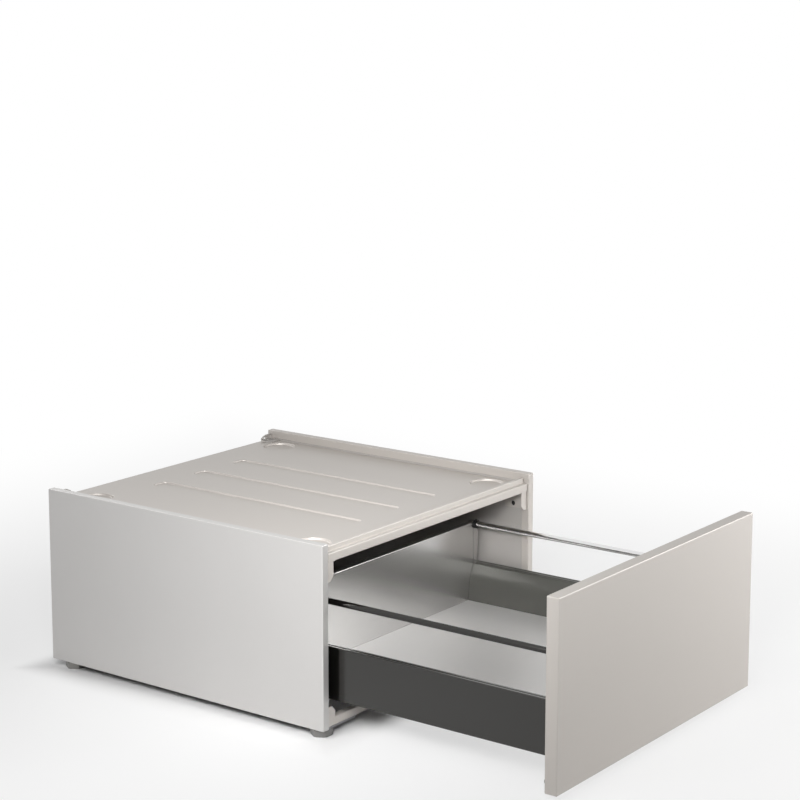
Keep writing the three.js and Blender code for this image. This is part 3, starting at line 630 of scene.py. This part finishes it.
class PEDESTAL_OT_deck(bpy.types.Operator):
    """Deck pressed from one sheet, with round wells, beads and folded sides"""

    bl_idname = "pedestal.deck"
    bl_label = "Deck"

    def execute(self, context):
        sizes = context.scene.pedestal_sizes
        lo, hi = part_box("top_deck")
        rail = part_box("rear_top_rail")
        surface = rail[1].z + GAP + sizes.deck_sheet
        flange = (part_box("front_bracket_left")[1].y + GAP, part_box("rear_bracket_left")[0].y - GAP)
        edge = lo.y + sizes.deck_sheet
        rim = [(lo.x, edge), (hi.x, edge), (hi.x, flange[0]), (hi.x, flange[1]),
               (hi.x, hi.y), (lo.x, hi.y), (lo.x, flange[1]), (lo.x, flange[0])]
        bm, edges = outlined(rim, "Z", surface)
        loops = []
        flare = sizes.shoulder / 2
        for x in (lo.x + WELL_ASIDE + sizes.deck_sheet, hi.x - WELL_ASIDE - sizes.deck_sheet):
            for y in (lo.y + WELL_BEHIND, rail[0].y - WELL_ASIDE):
                place = Matrix.Translation((x, y, surface))
                loops.append((ring(bm, WELL_RADIUS + flare, place, segments=48), WELL_DEPTH))
        half = BEAD_HALF + flare
        front, rear = lo.y + BEAD_CLEAR - flare, hi.y - BEAD_CLEAR + flare
        for x in BEADS:
            bead = corners(rectangle((x - half, front), (x + half, rear), BEAD_ROUND), "Z", surface)
            loops.append((wire(bm, bead, closed=True, segments=8), BEAD_DEPTH))
        filled(bm, edges + [e for loop, _ in loops for e in loop])
        facing(bm.faces, Z)
        for loop, depth in loops:
            press(bm, loop, depth, sizes.shoulder)
        for x in (lo.x, hi.x):
            side = open_edges(
                bm, lambda co, x=x: near(co.x, x) and flange[0] - SAME < co.y < flange[1] + SAME,
            )
            flanged(bm, side, Z * (lo.z - surface), 2 * MM)
        upstand = open_edges(bm, lambda co: near(co.y, edge))
        flanged(bm, upstand, Z * (hi.z - surface), 0.8 * MM)
        align(bm)
        if largest(bm.faces).normal.z < 0:
            bmesh.ops.reverse_faces(bm, faces=bm.faces)
        thicken(bm, sizes.deck_sheet)
        piece("deck", bm, "cabinet", "coated_steel", ["top_deck"])
        for name, _ in SIDES:
            softened(f"stiffener_{name}", f"deck_stiffener_{name}", "cabinet", "galvanised")
        return {"FINISHED"}


LIP_RETURN, FOOT_RETURN = 6 * MM, 14 * MM  # top rail's flanges at its lip and at its foot
FACE_RISE = 13.6 * MM  # bottom rail's face between its ears
SHELF_LENGTH = 0.3  # least length of a shelf's own edge
NOTCH, END_CLEAR = MM, 4 * MM  # shelves' ends, from the ears and from the rail's ends


class PEDESTAL_OT_front_rails(bpy.types.Operator):
    """Front top rail with its stepped lip, and front bottom rail with its ears"""

    bl_idname = "pedestal.front_rails"
    bl_label = "Front rails"

    def top_rail(self, sizes):
        lo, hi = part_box("front_top_rail")
        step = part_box("front_bracket_left")[1].z + sizes.rail_sheet + GAP
        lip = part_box("top_deck")[0].y - sizes.rail_sheet - GAP
        fold = sizes.rail_fold
        bm = bmesh.new()
        path = [(lip + LIP_RETURN, hi.z), (lip, hi.z, fold), (lip, step, 0.4 * fold),
                (lo.y, step, fold), (lo.y, lo.z)]
        pull(bm, wire(bm, corners(path, "X", lo.x)), X * (hi.x - lo.x))
        clear = hi.x - sizes.ear_width
        for x in (-clear, clear):
            bmesh.ops.bisect_plane(
                bm, geom=bm.verts[:] + bm.edges[:] + bm.faces[:], plane_co=(x, 0, 0), plane_no=(1, 0, 0),
            )
        tips = [v for v in bm.verts if near(v.co.z, lo.z) and near(abs(v.co.x), hi.x)]
        rounded(bm, tips, sizes.rail_corner, 5, "VERTICES")
        middle = open_edges(bm, lambda co: near(co.z, lo.z) and abs(co.x) < clear + SAME)
        flanged(bm, middle, Y * FOOT_RETURN, fold)
        thicken(bm, sizes.rail_sheet, -Y)
        piece("top_rail", bm, "cabinet", "coated_steel", ["front_top_rail"])

    def bottom_rail(self, sizes):
        lo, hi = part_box("front_bottom_rail")
        inner = hi.x + GAP - sizes.ear_width
        chamfer, fold = sizes.ear_chamfer, sizes.rail_fold
        rise = lo.z + FACE_RISE
        outline = [(lo.x, lo.z), (lo.x + END_CLEAR, lo.z), (hi.x - END_CLEAR, lo.z), (hi.x, lo.z),
                   (hi.x, hi.z), (inner + chamfer, hi.z, fold / 2), (inner, hi.z - chamfer, fold / 2),
                   (inner, rise), (inner - NOTCH, rise), (NOTCH - inner, rise), (-inner, rise),
                   (-inner, hi.z - chamfer, fold / 2), (-inner - chamfer, hi.z, fold / 2), (lo.x, hi.z)]
        bm, edges = outlined(outline, "Y", lo.y)
        facing(bmesh.ops.contextual_create(bm, geom=edges)["faces"][:1], -Y)
        back = Y * (hi.y - lo.y)
        for x in (lo.x, hi.x):
            flanged(bm, open_edges(bm, lambda co, x=x: near(co.x, x)), back, sizes.ear_fold, 5)
        for z, reach in ((rise, inner), (lo.z, hi.x - END_CLEAR + 0.1 * MM)):
            shelf = open_edges(
                bm, lambda co, z=z, r=reach: near(co.z, z) and abs(co.x) < r and near(co.y, lo.y),
            )
            shelf = [e for e in shelf if e.calc_length() > SHELF_LENGTH]
            flanged(bm, shelf, back, fold)
        thicken(bm, sizes.rail_sheet, -Y)
        piece("bottom_rail", bm, "cabinet", "coated_steel", ["front_bottom_rail"])

    def execute(self, context):
        self.top_rail(context.scene.pedestal_sizes)
        self.bottom_rail(context.scene.pedestal_sizes)
        return {"FINISHED"}


KEYHOLE = ((4.3 * MM, 0.0), (2.6 * MM, 3.4 * MM))  # radius, and how far below the keyhole's place
SLIT_WIDTH, SLIT_DEPTH = 5.5 * MM, 7 * MM  # left open behind the top rail's ends


def keyhole_place():
    """Place of the front brackets' keyholes along and up the cabinet."""
    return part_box("side_panel_left")[0].y + 31.7 * MM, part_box("front_bracket_left")[0].z + 7.6 * MM


class PEDESTAL_OT_front_brackets(bpy.types.Operator):
    """Front corner brackets: a chamfered ear, a broad fold and a keyhole in the flange"""

    bl_idname = "pedestal.front_brackets"
    bl_label = "Front corner brackets"

    def execute(self, context):
        sizes = context.scene.pedestal_sizes
        chamfer = sizes.ear_chamfer
        y, z = keyhole_place()
        for name, side, lo, hi, outer, inner in both("front_bracket"):
            outline = [(outer, lo.z), (outer, hi.z), (inner, hi.z), (inner, lo.z + chamfer, MM),
                       (inner + side * chamfer, lo.z, MM)]
            bm, edges = outlined(outline, "Y", lo.y)
            bmesh.ops.contextual_create(bm, geom=edges)
            flank = open_edges(bm, lambda co, x=outer: near(co.x, x))
            flanged(bm, flank, Y * (hi.y - lo.y), sizes.ear_fold, 5)
            thicken(bm, sizes.bracket_sheet, -Y)
            through = (outer - side * 6 * MM, outer + side * 2 * MM)
            holes = [bar(radius, "X", through, (y, z - drop)) for radius, drop in KEYHOLE]
            slit = slab((outer - side * SLIT_WIDTH, lo.y - MM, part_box("front_top_rail")[0].z),
                        (outer + side * MM, lo.y + SLIT_DEPTH, hi.z + MM))
            bm = cut(bm, *holes, slit)
            piece(f"corner_bracket_{name}", bm, "cabinet", "coated_steel", [f"front_bracket_{name}"])
        return {"FINISHED"}


SLOT_ROWS, ROW_PITCH, SLOTS_BELOW = 2, 18 * MM, 60 * MM  # rows, from the panels' tops down
SLOT_COLUMNS, SLOT_PITCH = range(-3, 4), 64 * MM
SLOT_HALF, SLOT_HEIGHT, SLOT_ROUND, SLOT_FLANGE = 22 * MM, 6 * MM, 2.9 * MM, 2.2 * MM
STOP_HOLE, STOP_HOLE_IN, STOP_HOLE_DOWN = 2.4 * MM, 21.5 * MM, 6 * MM  # radius and place


class PEDESTAL_OT_rear(bpy.types.Operator):
    """Rear panel with flanged slots, and the stops at the rear of the deck"""

    bl_idname = "pedestal.rear"
    bl_label = "Rear panel and stops"

    def panel(self):
        lo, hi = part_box("rear_panel")
        bm, edges = outlined(rectangle((lo.x, lo.z), (hi.x, hi.z), 4 * MM), "Y", hi.y)
        slots = []
        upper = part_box("side_panel_left")[1].z - SLOTS_BELOW
        for row in range(SLOT_ROWS):
            z = upper - ROW_PITCH * row
            for column in SLOT_COLUMNS:
                x = SLOT_PITCH * column
                slot = rectangle((x - SLOT_HALF, z - SLOT_HEIGHT), (x + SLOT_HALF, z), SLOT_ROUND)
                slots += wire(bm, corners(slot, "Y", hi.y), closed=True)
        filled(bm, edges + slots)
        facing(bm.faces, Y)
        flanged(bm, slots, Y * -SLOT_FLANGE, 0.7 * MM, 2)
        thicken(bm, hi.y - lo.y, Y)
        piece("rear_sheet", bm, "cabinet", "galvanised", ["rear_panel"])

    def stops(self, sheet):
        for name, side, lo, hi, outer, inner in both("rear_stop"):
            outline = [(outer, lo.z), (outer, hi.z), (inner + side * 11 * MM, hi.z, 2 * MM),
                       (inner, hi.z - 5 * MM, 2 * MM), (inner, lo.z)]
            bm = bmesh.new()
            edges = wire(bm, corners(outline, "Y", hi.y), closed=True)
            hole = Vector((outer + side * GAP - side * STOP_HOLE_IN, hi.y, hi.z - STOP_HOLE_DOWN))
            turn = Matrix.Translation(hole) @ Matrix.Rotation(math.pi / 2, 4, "X")
            filled(bm, edges + ring(bm, STOP_HOLE, turn, segments=24))
            foot = open_edges(bm, lambda co, z=lo.z: near(co.z, z))
            flanged(bm, foot, Y * (lo.y - hi.y), 2.4 * MM, 4)
            thicken(bm, sheet, Y)
            piece(f"stop_{name}", bm, "cabinet", "frame_steel", [f"rear_stop_{name}"])

    def execute(self, context):
        self.panel()
        self.stops(context.scene.pedestal_sizes.bracket_sheet)
        return {"FINISHED"}


class PEDESTAL_OT_inner_frame(bpy.types.Operator):
    """Liners, rear rails, rear brackets, foot plates and lock nuts, with broken edges"""

    bl_idname = "pedestal.inner_frame"
    bl_label = "Inner frame"

    def execute(self, context):
        for where in ("top", "bottom"):
            softened(f"rear_{where}_channel", f"rear_{where}_rail", "cabinet", "frame_steel")
        place = keyhole_place()
        for name, side, *_, face in both("side_liner"):
            hole = bar(5.5 * MM, "X", (face - side * 2 * MM, face + side * 8 * MM), place)
            liner = cut(merged_copy(f"side_liner_{name}"), hole)
            soften(liner, context.scene.pedestal_sizes.edge)
            piece(f"liner_{name}", liner, "cabinet", "frame_steel", [f"side_liner_{name}"])
            span = (face + side * 0.1 * MM, face + side * 4 * MM)
            plug = bar(5.2 * MM, "X", span, place, 0.3 * MM)
            piece(f"keyhole_plug_{name}", plug, "cabinet", "dark_plastic")
            softened(f"rear_corner_{name}", f"rear_bracket_{name}", "cabinet", "galvanised")
            for where in ENDS:
                end = f"{where}_{name}"
                softened(f"corner_plate_{end}", f"foot_plate_{end}", "cabinet", "galvanised")
                softened(f"jam_nut_{end}", f"lock_nut_{end}", "cabinet", "zinc_plate")
        return {"FINISHED"}


PAD, STEM, COLLAR = 13.4 * MM, 5 * MM, 8 * MM  # height of the hexagon, radii of the stem and its collar
FOOT_BASE = ((1.4, 0.0), (0.6, 0.8), (0.0, 2.2))  # mm off the corners, and up from the floor
FOOT_TOP = ((0.0, 2.8), (1.0, 2.0), (4.2, 0.3), (6.5, 0.0))  # mm off the corners, and down from the top


class PEDESTAL_OT_feet(bpy.types.Operator):
    """Hexagonal levelling feet, chamfered like nuts, on threaded stems"""

    bl_idname = "pedestal.feet"
    bl_label = "Feet"

    def execute(self, context):
        pitch = context.scene.pedestal_sizes.thread_pitch
        root = STEM - 0.6 * pitch
        for name, _ in SIDES:
            for where in ENDS:
                node = f"foot_{where}_{name}"
                lo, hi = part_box(node)
                centre = (lo + hi) / 2
                corner = (hi.x - lo.x) / 2
                hexagon = bmesh.new()
                bmesh.ops.create_cone(
                    hexagon, cap_ends=True, segments=6, radius1=corner, radius2=corner,
                    depth=PAD, matrix=Matrix.Translation((*centre.xy, PAD / 2))
                    @ Matrix.Rotation(math.pi / 6, 4, "Z"),
                )
                base = [(corner - off * MM, up * MM) for off, up in FOOT_BASE]
                top = [(corner - off * MM, PAD - down * MM) for off, down in FOOT_TOP]
                envelope = turned(
                    [(0, -PAD), (base[0][0], -PAD), *base, *top, (top[-1][0], 2 * PAD), (0, 2 * PAD)],
                    "Z", centre[:2], steps=72,
                )
                bm = combined(hexagon, envelope, "INTERSECT")
                shoulder = PAD + 0.4 * MM
                thread = [(0, PAD / 2), (COLLAR, PAD / 2), (COLLAR, shoulder), (root, shoulder)]
                height = PAD + 0.5 * MM + pitch / 2
                while height < hi.z - pitch:
                    thread += [(STEM, height), (root, height + pitch / 2)]
                    height += pitch
                thread += [(root, hi.z), (0, hi.z)]
                append(bm, turned(thread, "Z", centre[:2], steps=32))
                piece(f"level_foot_{where}_{name}", bm, node, "foot_metal", [node])
        return {"FINISHED"}


class PEDESTAL_OT_runners(bpy.types.Operator):
    """Cabinet, middle and drawer profiles of the runners"""

    bl_idname = "pedestal.runners"
    bl_label = "Runners"

    def execute(self, context):
        for name, _ in SIDES:
            softened(f"fixed_profile_{name}", f"cabinet_runner_{name}", "cabinet", "zinc_plate")
            middle = f"middle_runner_{name}"
            softened(f"middle_profile_{name}", middle, middle, "zinc_plate")
            softened(f"drawer_profile_{name}", f"drawer_runner_{name}", "drawer", "zinc_plate")
        return {"FINISHED"}


# ---- drawer
BUFFER = ((1.0, 0.0), (1.0, 0.4), (0.85, 0.8), (0.5, 1.0))  # shares of the buffers' radius and depth


class PEDESTAL_OT_drawer_front(bpy.types.Operator):
    """Folded drawer front, its back plate, inner fixings and buffers"""

    bl_idname = "pedestal.drawer_front"
    bl_label = "Drawer front"

    def execute(self, context):
        sizes = context.scene.pedestal_sizes
        fold = sizes.front_fold
        lo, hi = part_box("drawer_front_skin")
        bm = tray(lo, hi, Y, fold, sizes.lip - fold, sizes.panel_sheet, 5)
        piece("front_skin", bm, "drawer", "coated_steel", ["drawer_front_skin"])
        softened("front_back_plate", "drawer_front_backplate", "drawer", "coated_steel")
        for name, _ in SIDES:
            softened(f"side_fixing_{name}", f"front_fixing_{name}", "drawer", "zinc_plate")
            for where in ("upper", "lower"):
                node = f"{where}_bumper_{name}"
                lo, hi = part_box(node)
                radius, depth = (hi.x - lo.x) / 2, hi.y - lo.y
                dome = [(across * radius, lo.y + along * depth) for across, along in BUFFER]
                centre = ((lo + hi) / 2).xz
                bm = turned([(0, lo.y), *dome, (0, hi.y)], "Y", centre, steps=24)
                piece(f"{where}_buffer_{name}", bm, "drawer", "rubber", [node])
        return {"FINISHED"}


class PEDESTAL_OT_drawer_sides(bpy.types.Operator):
    """Hollow drawer sides with a seam groove along the top"""

    bl_idname = "pedestal.drawer_sides"
    bl_label = "Drawer sides"

    def execute(self, context):
        sizes = context.scene.pedestal_sizes
        groove, depth = sizes.groove, sizes.groove_depth
        crease, bend = 0.75 * MM, 0.8 * MM
        profile = [  # in from the outer face, down from the top, and the radius
            (0, 0, 1.4 * MM), (4.3 * MM, 0, crease), (4.6 * MM, depth, crease),
            (4.2 * MM + groove, depth, crease), (4.5 * MM + groove, 0, crease), (12.0 * MM, 0, bend),
            (12.9 * MM, 1.8 * MM, bend), (15.5 * MM, 2.1 * MM, bend), (24.5 * MM, 22 * MM, 9 * MM),
        ]
        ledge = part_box("drawer_floor")[0].z - GAP
        for name, side, lo, hi, outer, _ in both("drawer_side"):
            path = [(outer, lo.z), *((outer - side * x, hi.z - z, radius) for x, z, radius in profile),
                    (outer - side * 31.5 * MM, ledge, 1.2 * MM), (outer - side * 44.5 * MM, ledge)]
            bm = bmesh.new()
            pull(bm, wire(bm, corners(path, "Y", lo.y), segments=5), Y * (hi.y - lo.y))
            thicken(bm, sizes.side_sheet, side * X)
            piece(f"drawer_wall_{name}", bm, "drawer", "drawer_side_steel", [f"drawer_side_{name}"])
        return {"FINISHED"}


class PEDESTAL_OT_drawer_box(bpy.types.Operator):
    """Drawer floor, tall back and the holders beside it"""

    bl_idname = "pedestal.drawer_box"
    bl_label = "Drawer floor and back"

    def execute(self, context):
        sizes = context.scene.pedestal_sizes
        lo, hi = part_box("drawer_floor")
        piece("floor_sheet", slab(lo, hi, sizes.edge, 2), "drawer", "stainless", ["drawer_floor"])
        lo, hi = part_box("drawer_back")
        bm = tray(lo, hi, Y, 1.5 * MM, 0, sizes.panel_sheet)
        piece("back_sheet", bm, "drawer", "stainless", ["drawer_back"], "_bright")
        for name, _ in SIDES:
            softened(f"back_post_{name}", f"back_holder_{name}", "drawer", "stainless", 2, "_bright")
        return {"FINISHED"}


class PEDESTAL_OT_gallery_rods(bpy.types.Operator):
    """Round gallery rods, the sockets that hold them to the front and the collars at the back"""

    bl_idname = "pedestal.gallery_rods"
    bl_label = "Gallery rods"

    def execute(self, context):
        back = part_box("drawer_back")[0].y - 0.1 * MM
        flat, end = back - 3.2 * MM, back - 4.2 * MM
        for name, _, lo, hi, *_ in both("gallery_rod"):
            centre = ((lo + hi) / 2).xz
            radius = (hi.z - lo.z) / 2
            bm = bar(radius, "Y", (lo.y, hi.y), centre, 0.5 * MM, steps=64)
            piece(f"rod_{name}", bm, "drawer", "polished_steel", [f"gallery_rod_{name}"])
            lo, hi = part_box(f"rod_socket_{name}")
            outer, bore = (hi.z - lo.z) / 2, radius + GAP
            profile = [(bore, lo.y), (outer, lo.y), (outer, lo.y + 3 * MM), (outer - MM, lo.y + 4 * MM),
                       (outer - 1.6 * MM, hi.y - 1.2 * MM), (outer - 2.6 * MM, hi.y), (bore, hi.y),
                       (bore, lo.y)]
            bm = turned(profile, "Y", centre)
            piece(f"socket_{name}", bm, "drawer", "dark_plastic", [f"rod_socket_{name}"])
            profile = [(bore, back), (8 * MM, back), (8 * MM, flat), (7 * MM, end), (bore, end),
                       (bore, back)]
            piece(f"collar_{name}", turned(profile, "Y", centre), "drawer", "dark_plastic")
        return {"FINISHED"}


SCREW_HEAD = ((1.0, 0.0), (1.0, 0.3), (0.92, 0.62), (0.7, 0.88), (0.4, 1.0))  # of radius and height


class PEDESTAL_OT_fasteners(bpy.types.Operator):
    """Pan-head screws round the rear panel and on the drawer's back plate"""

    bl_idname = "pedestal.fasteners"
    bl_label = "Fasteners"

    def screws(self, name, body, seat, places, radius):
        """Screws with cross recesses, standing on a face that looks along Y."""
        height = 0.55 * radius
        long, wide = 0.55 * radius, 0.13 * radius
        tip, past = seat + 0.68 * height, seat + 2 * height
        profile = [(across * radius, seat + up * height) for across, up in SCREW_HEAD]
        group = bmesh.new()
        for x, z in places:
            head = turned([(0, seat), *profile, (0, seat + height)], "Y", (x, z), steps=24)
            slots = [slab((x - a, tip, z - b), (x + a, past, z + b))
                     for a, b in ((long, wide), (wide, long))]
            append(group, cut(head, *slots))
        piece(name, group, body, "zinc_plate")

    def execute(self, context):
        lo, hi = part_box("rear_panel")
        low, high = lo.z + 12 * MM, hi.z - 12 * MM
        places = [(x * MM, z) for x in (-262, -131, 0, 131, 262) for z in (low, high)]
        places += [(x * MM, lo.z + z * MM) for x in (-274, 274) for z in (95, 180)]
        self.screws("rear_screws", "cabinet", hi.y, places, 4 * MM)
        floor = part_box("drawer_floor")[1].z
        places = [(x * MM, floor + z * MM) for x in (-236, 236) for z in (12, 44)]
        self.screws("front_screws", "drawer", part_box("drawer_front_backplate")[1].y, places, 3.5 * MM)
        return {"FINISHED"}


# ---- stage
LAMPS = (
    # name, place, aim, size, spread in degrees, watts
    ("left_beam", (-1.15, -0.06, 0.85), (-0.3, 0.05, 0.05), 0.5, 90.0, 1.85),
    ("right_lamp", (0.95, -1.25, 0.56), (0.3, -0.52, 0.12), 0.5, 180.0, 11.3),
    ("inner_beam", (-1.4, -0.95, 1.0), (0.0, 0.0, 0.21), 0.4, 40.0, 1.8),
    ("front_beam", (-0.9, -0.5, 1.4), (0.1, -0.2, 0.15), 0.5, 60.0, 0.4),
    ("rear_lamp", (0.6, 2.6, 1.6), (0.0, 0.3, 0.15), 1.4, 180.0, 16.0),
    ("top_lamp", (0.1, -0.2, 2.4), (0.0, -0.1, 0.1), 1.6, 180.0, 1.5),
)


class PEDESTAL_OT_stage(bpy.types.Operator):
    """Pale floor, even room light, soft lamps and the camera"""

    bl_idname = "pedestal.stage"
    bl_label = "Stage"

    def seen(self, tree):
        """1 for rays that come from the camera, or by way of gloss or glass."""
        path = tree.nodes.new("ShaderNodeLightPath").outputs
        value = maths(tree, "MAXIMUM", path["Is Camera Ray"], path["Is Glossy Ray"])
        return maths(tree, "MAXIMUM", value, path["Is Transmission Ray"])

    def faded(self, tree, value, start, end, most):
        """Rises smoothly from none to its most between two values."""
        node = shader(tree, "ShaderNodeMapRange", Value=value, From_Min=start, From_Max=end, To_Max=most)
        node.interpolation_type = "SMOOTHSTEP"
        return node.outputs["Result"]

    def outside(self, tree, place):
        """Distance past the cabinet's sides, below zero under it."""
        lo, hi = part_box("side_panel_left")
        half, reach = -lo.x, (hi.y - lo.y) / 2
        axes = shader(tree, "ShaderNodeSeparateXYZ", Vector=place).outputs
        across = maths(tree, "SUBTRACT", maths(tree, "ABSOLUTE", axes["X"]), half)
        along = maths(tree, "SUBTRACT", axes["Y"], (lo.y + hi.y) / 2)
        along = maths(tree, "SUBTRACT", maths(tree, "ABSOLUTE", along), reach)
        return maths(tree, "MAXIMUM", across, along)

    def floor(self, studio):
        bm = bmesh.new()
        bmesh.ops.create_grid(bm, x_segments=1, y_segments=1, size=studio.floor_size)
        floor = placed("floor", bm)
        material, tree, surface, place = start_finish("pale_floor")
        mottle = grain(tree, place, scale=0.8, detail=1.0)
        feed(
            tree, surface, Base_Color=two_tone(tree, mottle, studio.floor, contrast=0.004),
            Roughness=0.9, Specular_IOR_Level=0.1,
        )
        clear = self.outside(tree, place)
        near = self.faded(tree, clear, 0.0, studio.shade_edge, studio.floor_lift)
        wide = self.faded(tree, clear, studio.shade_edge, studio.lit_floor, 1.0 - studio.floor_lift)
        lift = maths(tree, "ADD", near, wide)
        far = maths(tree, "MULTIPLY", lift, self.seen(tree))
        white = shader(tree, "ShaderNodeEmission", Color=(1, 1, 1, 1), Strength=1.0)
        mix = shader(tree, "ShaderNodeMixShader", Fac=far)
        tree.links.new(surface.outputs[0], mix.inputs[1])
        tree.links.new(white.outputs[0], mix.inputs[2])
        feed(tree, tree.nodes["Material Output"], Surface=mix.outputs[0])
        floor.data.materials.append(material)

    def room(self, studio):
        world = bpy.data.worlds.new("studio_room")
        bpy.context.scene.world = world
        world.use_nodes = True
        tree = world.node_tree
        tree.nodes.clear()
        strength = mixed(tree, "FLOAT", self.seen(tree), studio.room_light, 1.0)
        background = shader(tree, "ShaderNodeBackground", Color=(1, 1, 1, 1), Strength=strength)
        shader(tree, "ShaderNodeOutputWorld", Surface=background.outputs[0])

    def lamp(self, name, place, aim, size, spread, watts):
        data = bpy.data.lights.new(name, "AREA")
        data.size, data.energy = size, watts
        data.spread = math.radians(spread)
        lamp = linked(bpy.data.objects.new(name, data))
        lamp.location = place
        lamp.visible_camera = False
        lamp.rotation_euler = (Vector(aim) - Vector(place)).to_track_quat("-Z", "Y").to_euler()

    def camera(self, studio):
        data = bpy.data.cameras.new("camera")
        data.sensor_width = 36.0
        data.lens = studio.camera_lens
        data.shift_y = studio.camera_shift
        data.clip_end = 200.0
        camera = linked(bpy.data.objects.new("camera", data))
        camera.location = studio.camera_place
        camera.rotation_euler = (math.pi / 2 - studio.camera_dip, 0.0, studio.camera_turn)
        bpy.context.scene.camera = camera

    def execute(self, context):
        studio = context.scene.pedestal_studio
        self.floor(studio)
        self.room(studio)
        for lamp in LAMPS[:studio.lamp_count]:
            self.lamp(*lamp)
        self.camera(studio)
        context.scene.view_settings.view_transform = "Standard"
        return {"FINISHED"}


# ---- panel and registration
OPERATORS = (
    PEDESTAL_OT_side_panels,
    PEDESTAL_OT_deck,
    PEDESTAL_OT_front_rails,
    PEDESTAL_OT_front_brackets,
    PEDESTAL_OT_rear,
    PEDESTAL_OT_inner_frame,
    PEDESTAL_OT_feet,
    PEDESTAL_OT_runners,
    PEDESTAL_OT_drawer_front,
    PEDESTAL_OT_drawer_sides,
    PEDESTAL_OT_drawer_box,
    PEDESTAL_OT_gallery_rods,
    PEDESTAL_OT_fasteners,
    PEDESTAL_OT_stage,
)
GROUPS = (
    ("pedestal_sizes", PedestalSizes),
    ("pedestal_finishes", PedestalFinishes),
    ("pedestal_studio", PedestalStudio),
)


class PEDESTAL_PT_main(bpy.types.Panel):
    """Lists the operators and their settings"""

    bl_idname = "PEDESTAL_PT_main"
    bl_label = "Pedestal drawer"
    bl_space_type = "VIEW_3D"
    bl_region_type = "UI"
    bl_category = "Pedestal"

    def draw(self, context):
        for operator in OPERATORS:
            self.layout.operator(operator.bl_idname)
        for name, group in GROUPS:
            settings = getattr(context.scene, name)
            box = self.layout.box()
            for key in group.__annotations__:
                box.prop(settings, key)


def register():
    for name, group in GROUPS:
        bpy.utils.register_class(group)
        setattr(bpy.types.Scene, name, PointerProperty(type=group))
    for operator in OPERATORS:
        bpy.utils.register_class(operator)
    bpy.utils.register_class(PEDESTAL_PT_main)


def unregister():
    bpy.utils.unregister_class(PEDESTAL_PT_main)
    for operator in reversed(OPERATORS):
        bpy.utils.unregister_class(operator)
    for name, group in reversed(GROUPS):
        delattr(bpy.types.Scene, name)
        bpy.utils.unregister_class(group)


def main():
    register()
    for operator in OPERATORS:
        result = getattr(bpy.ops.pedestal, operator.bl_idname.split(".")[1])()
        if result != {"FINISHED"}:
            raise RuntimeError(f"{operator.bl_label} did not finish")


if __name__ == "__main__":
    main()
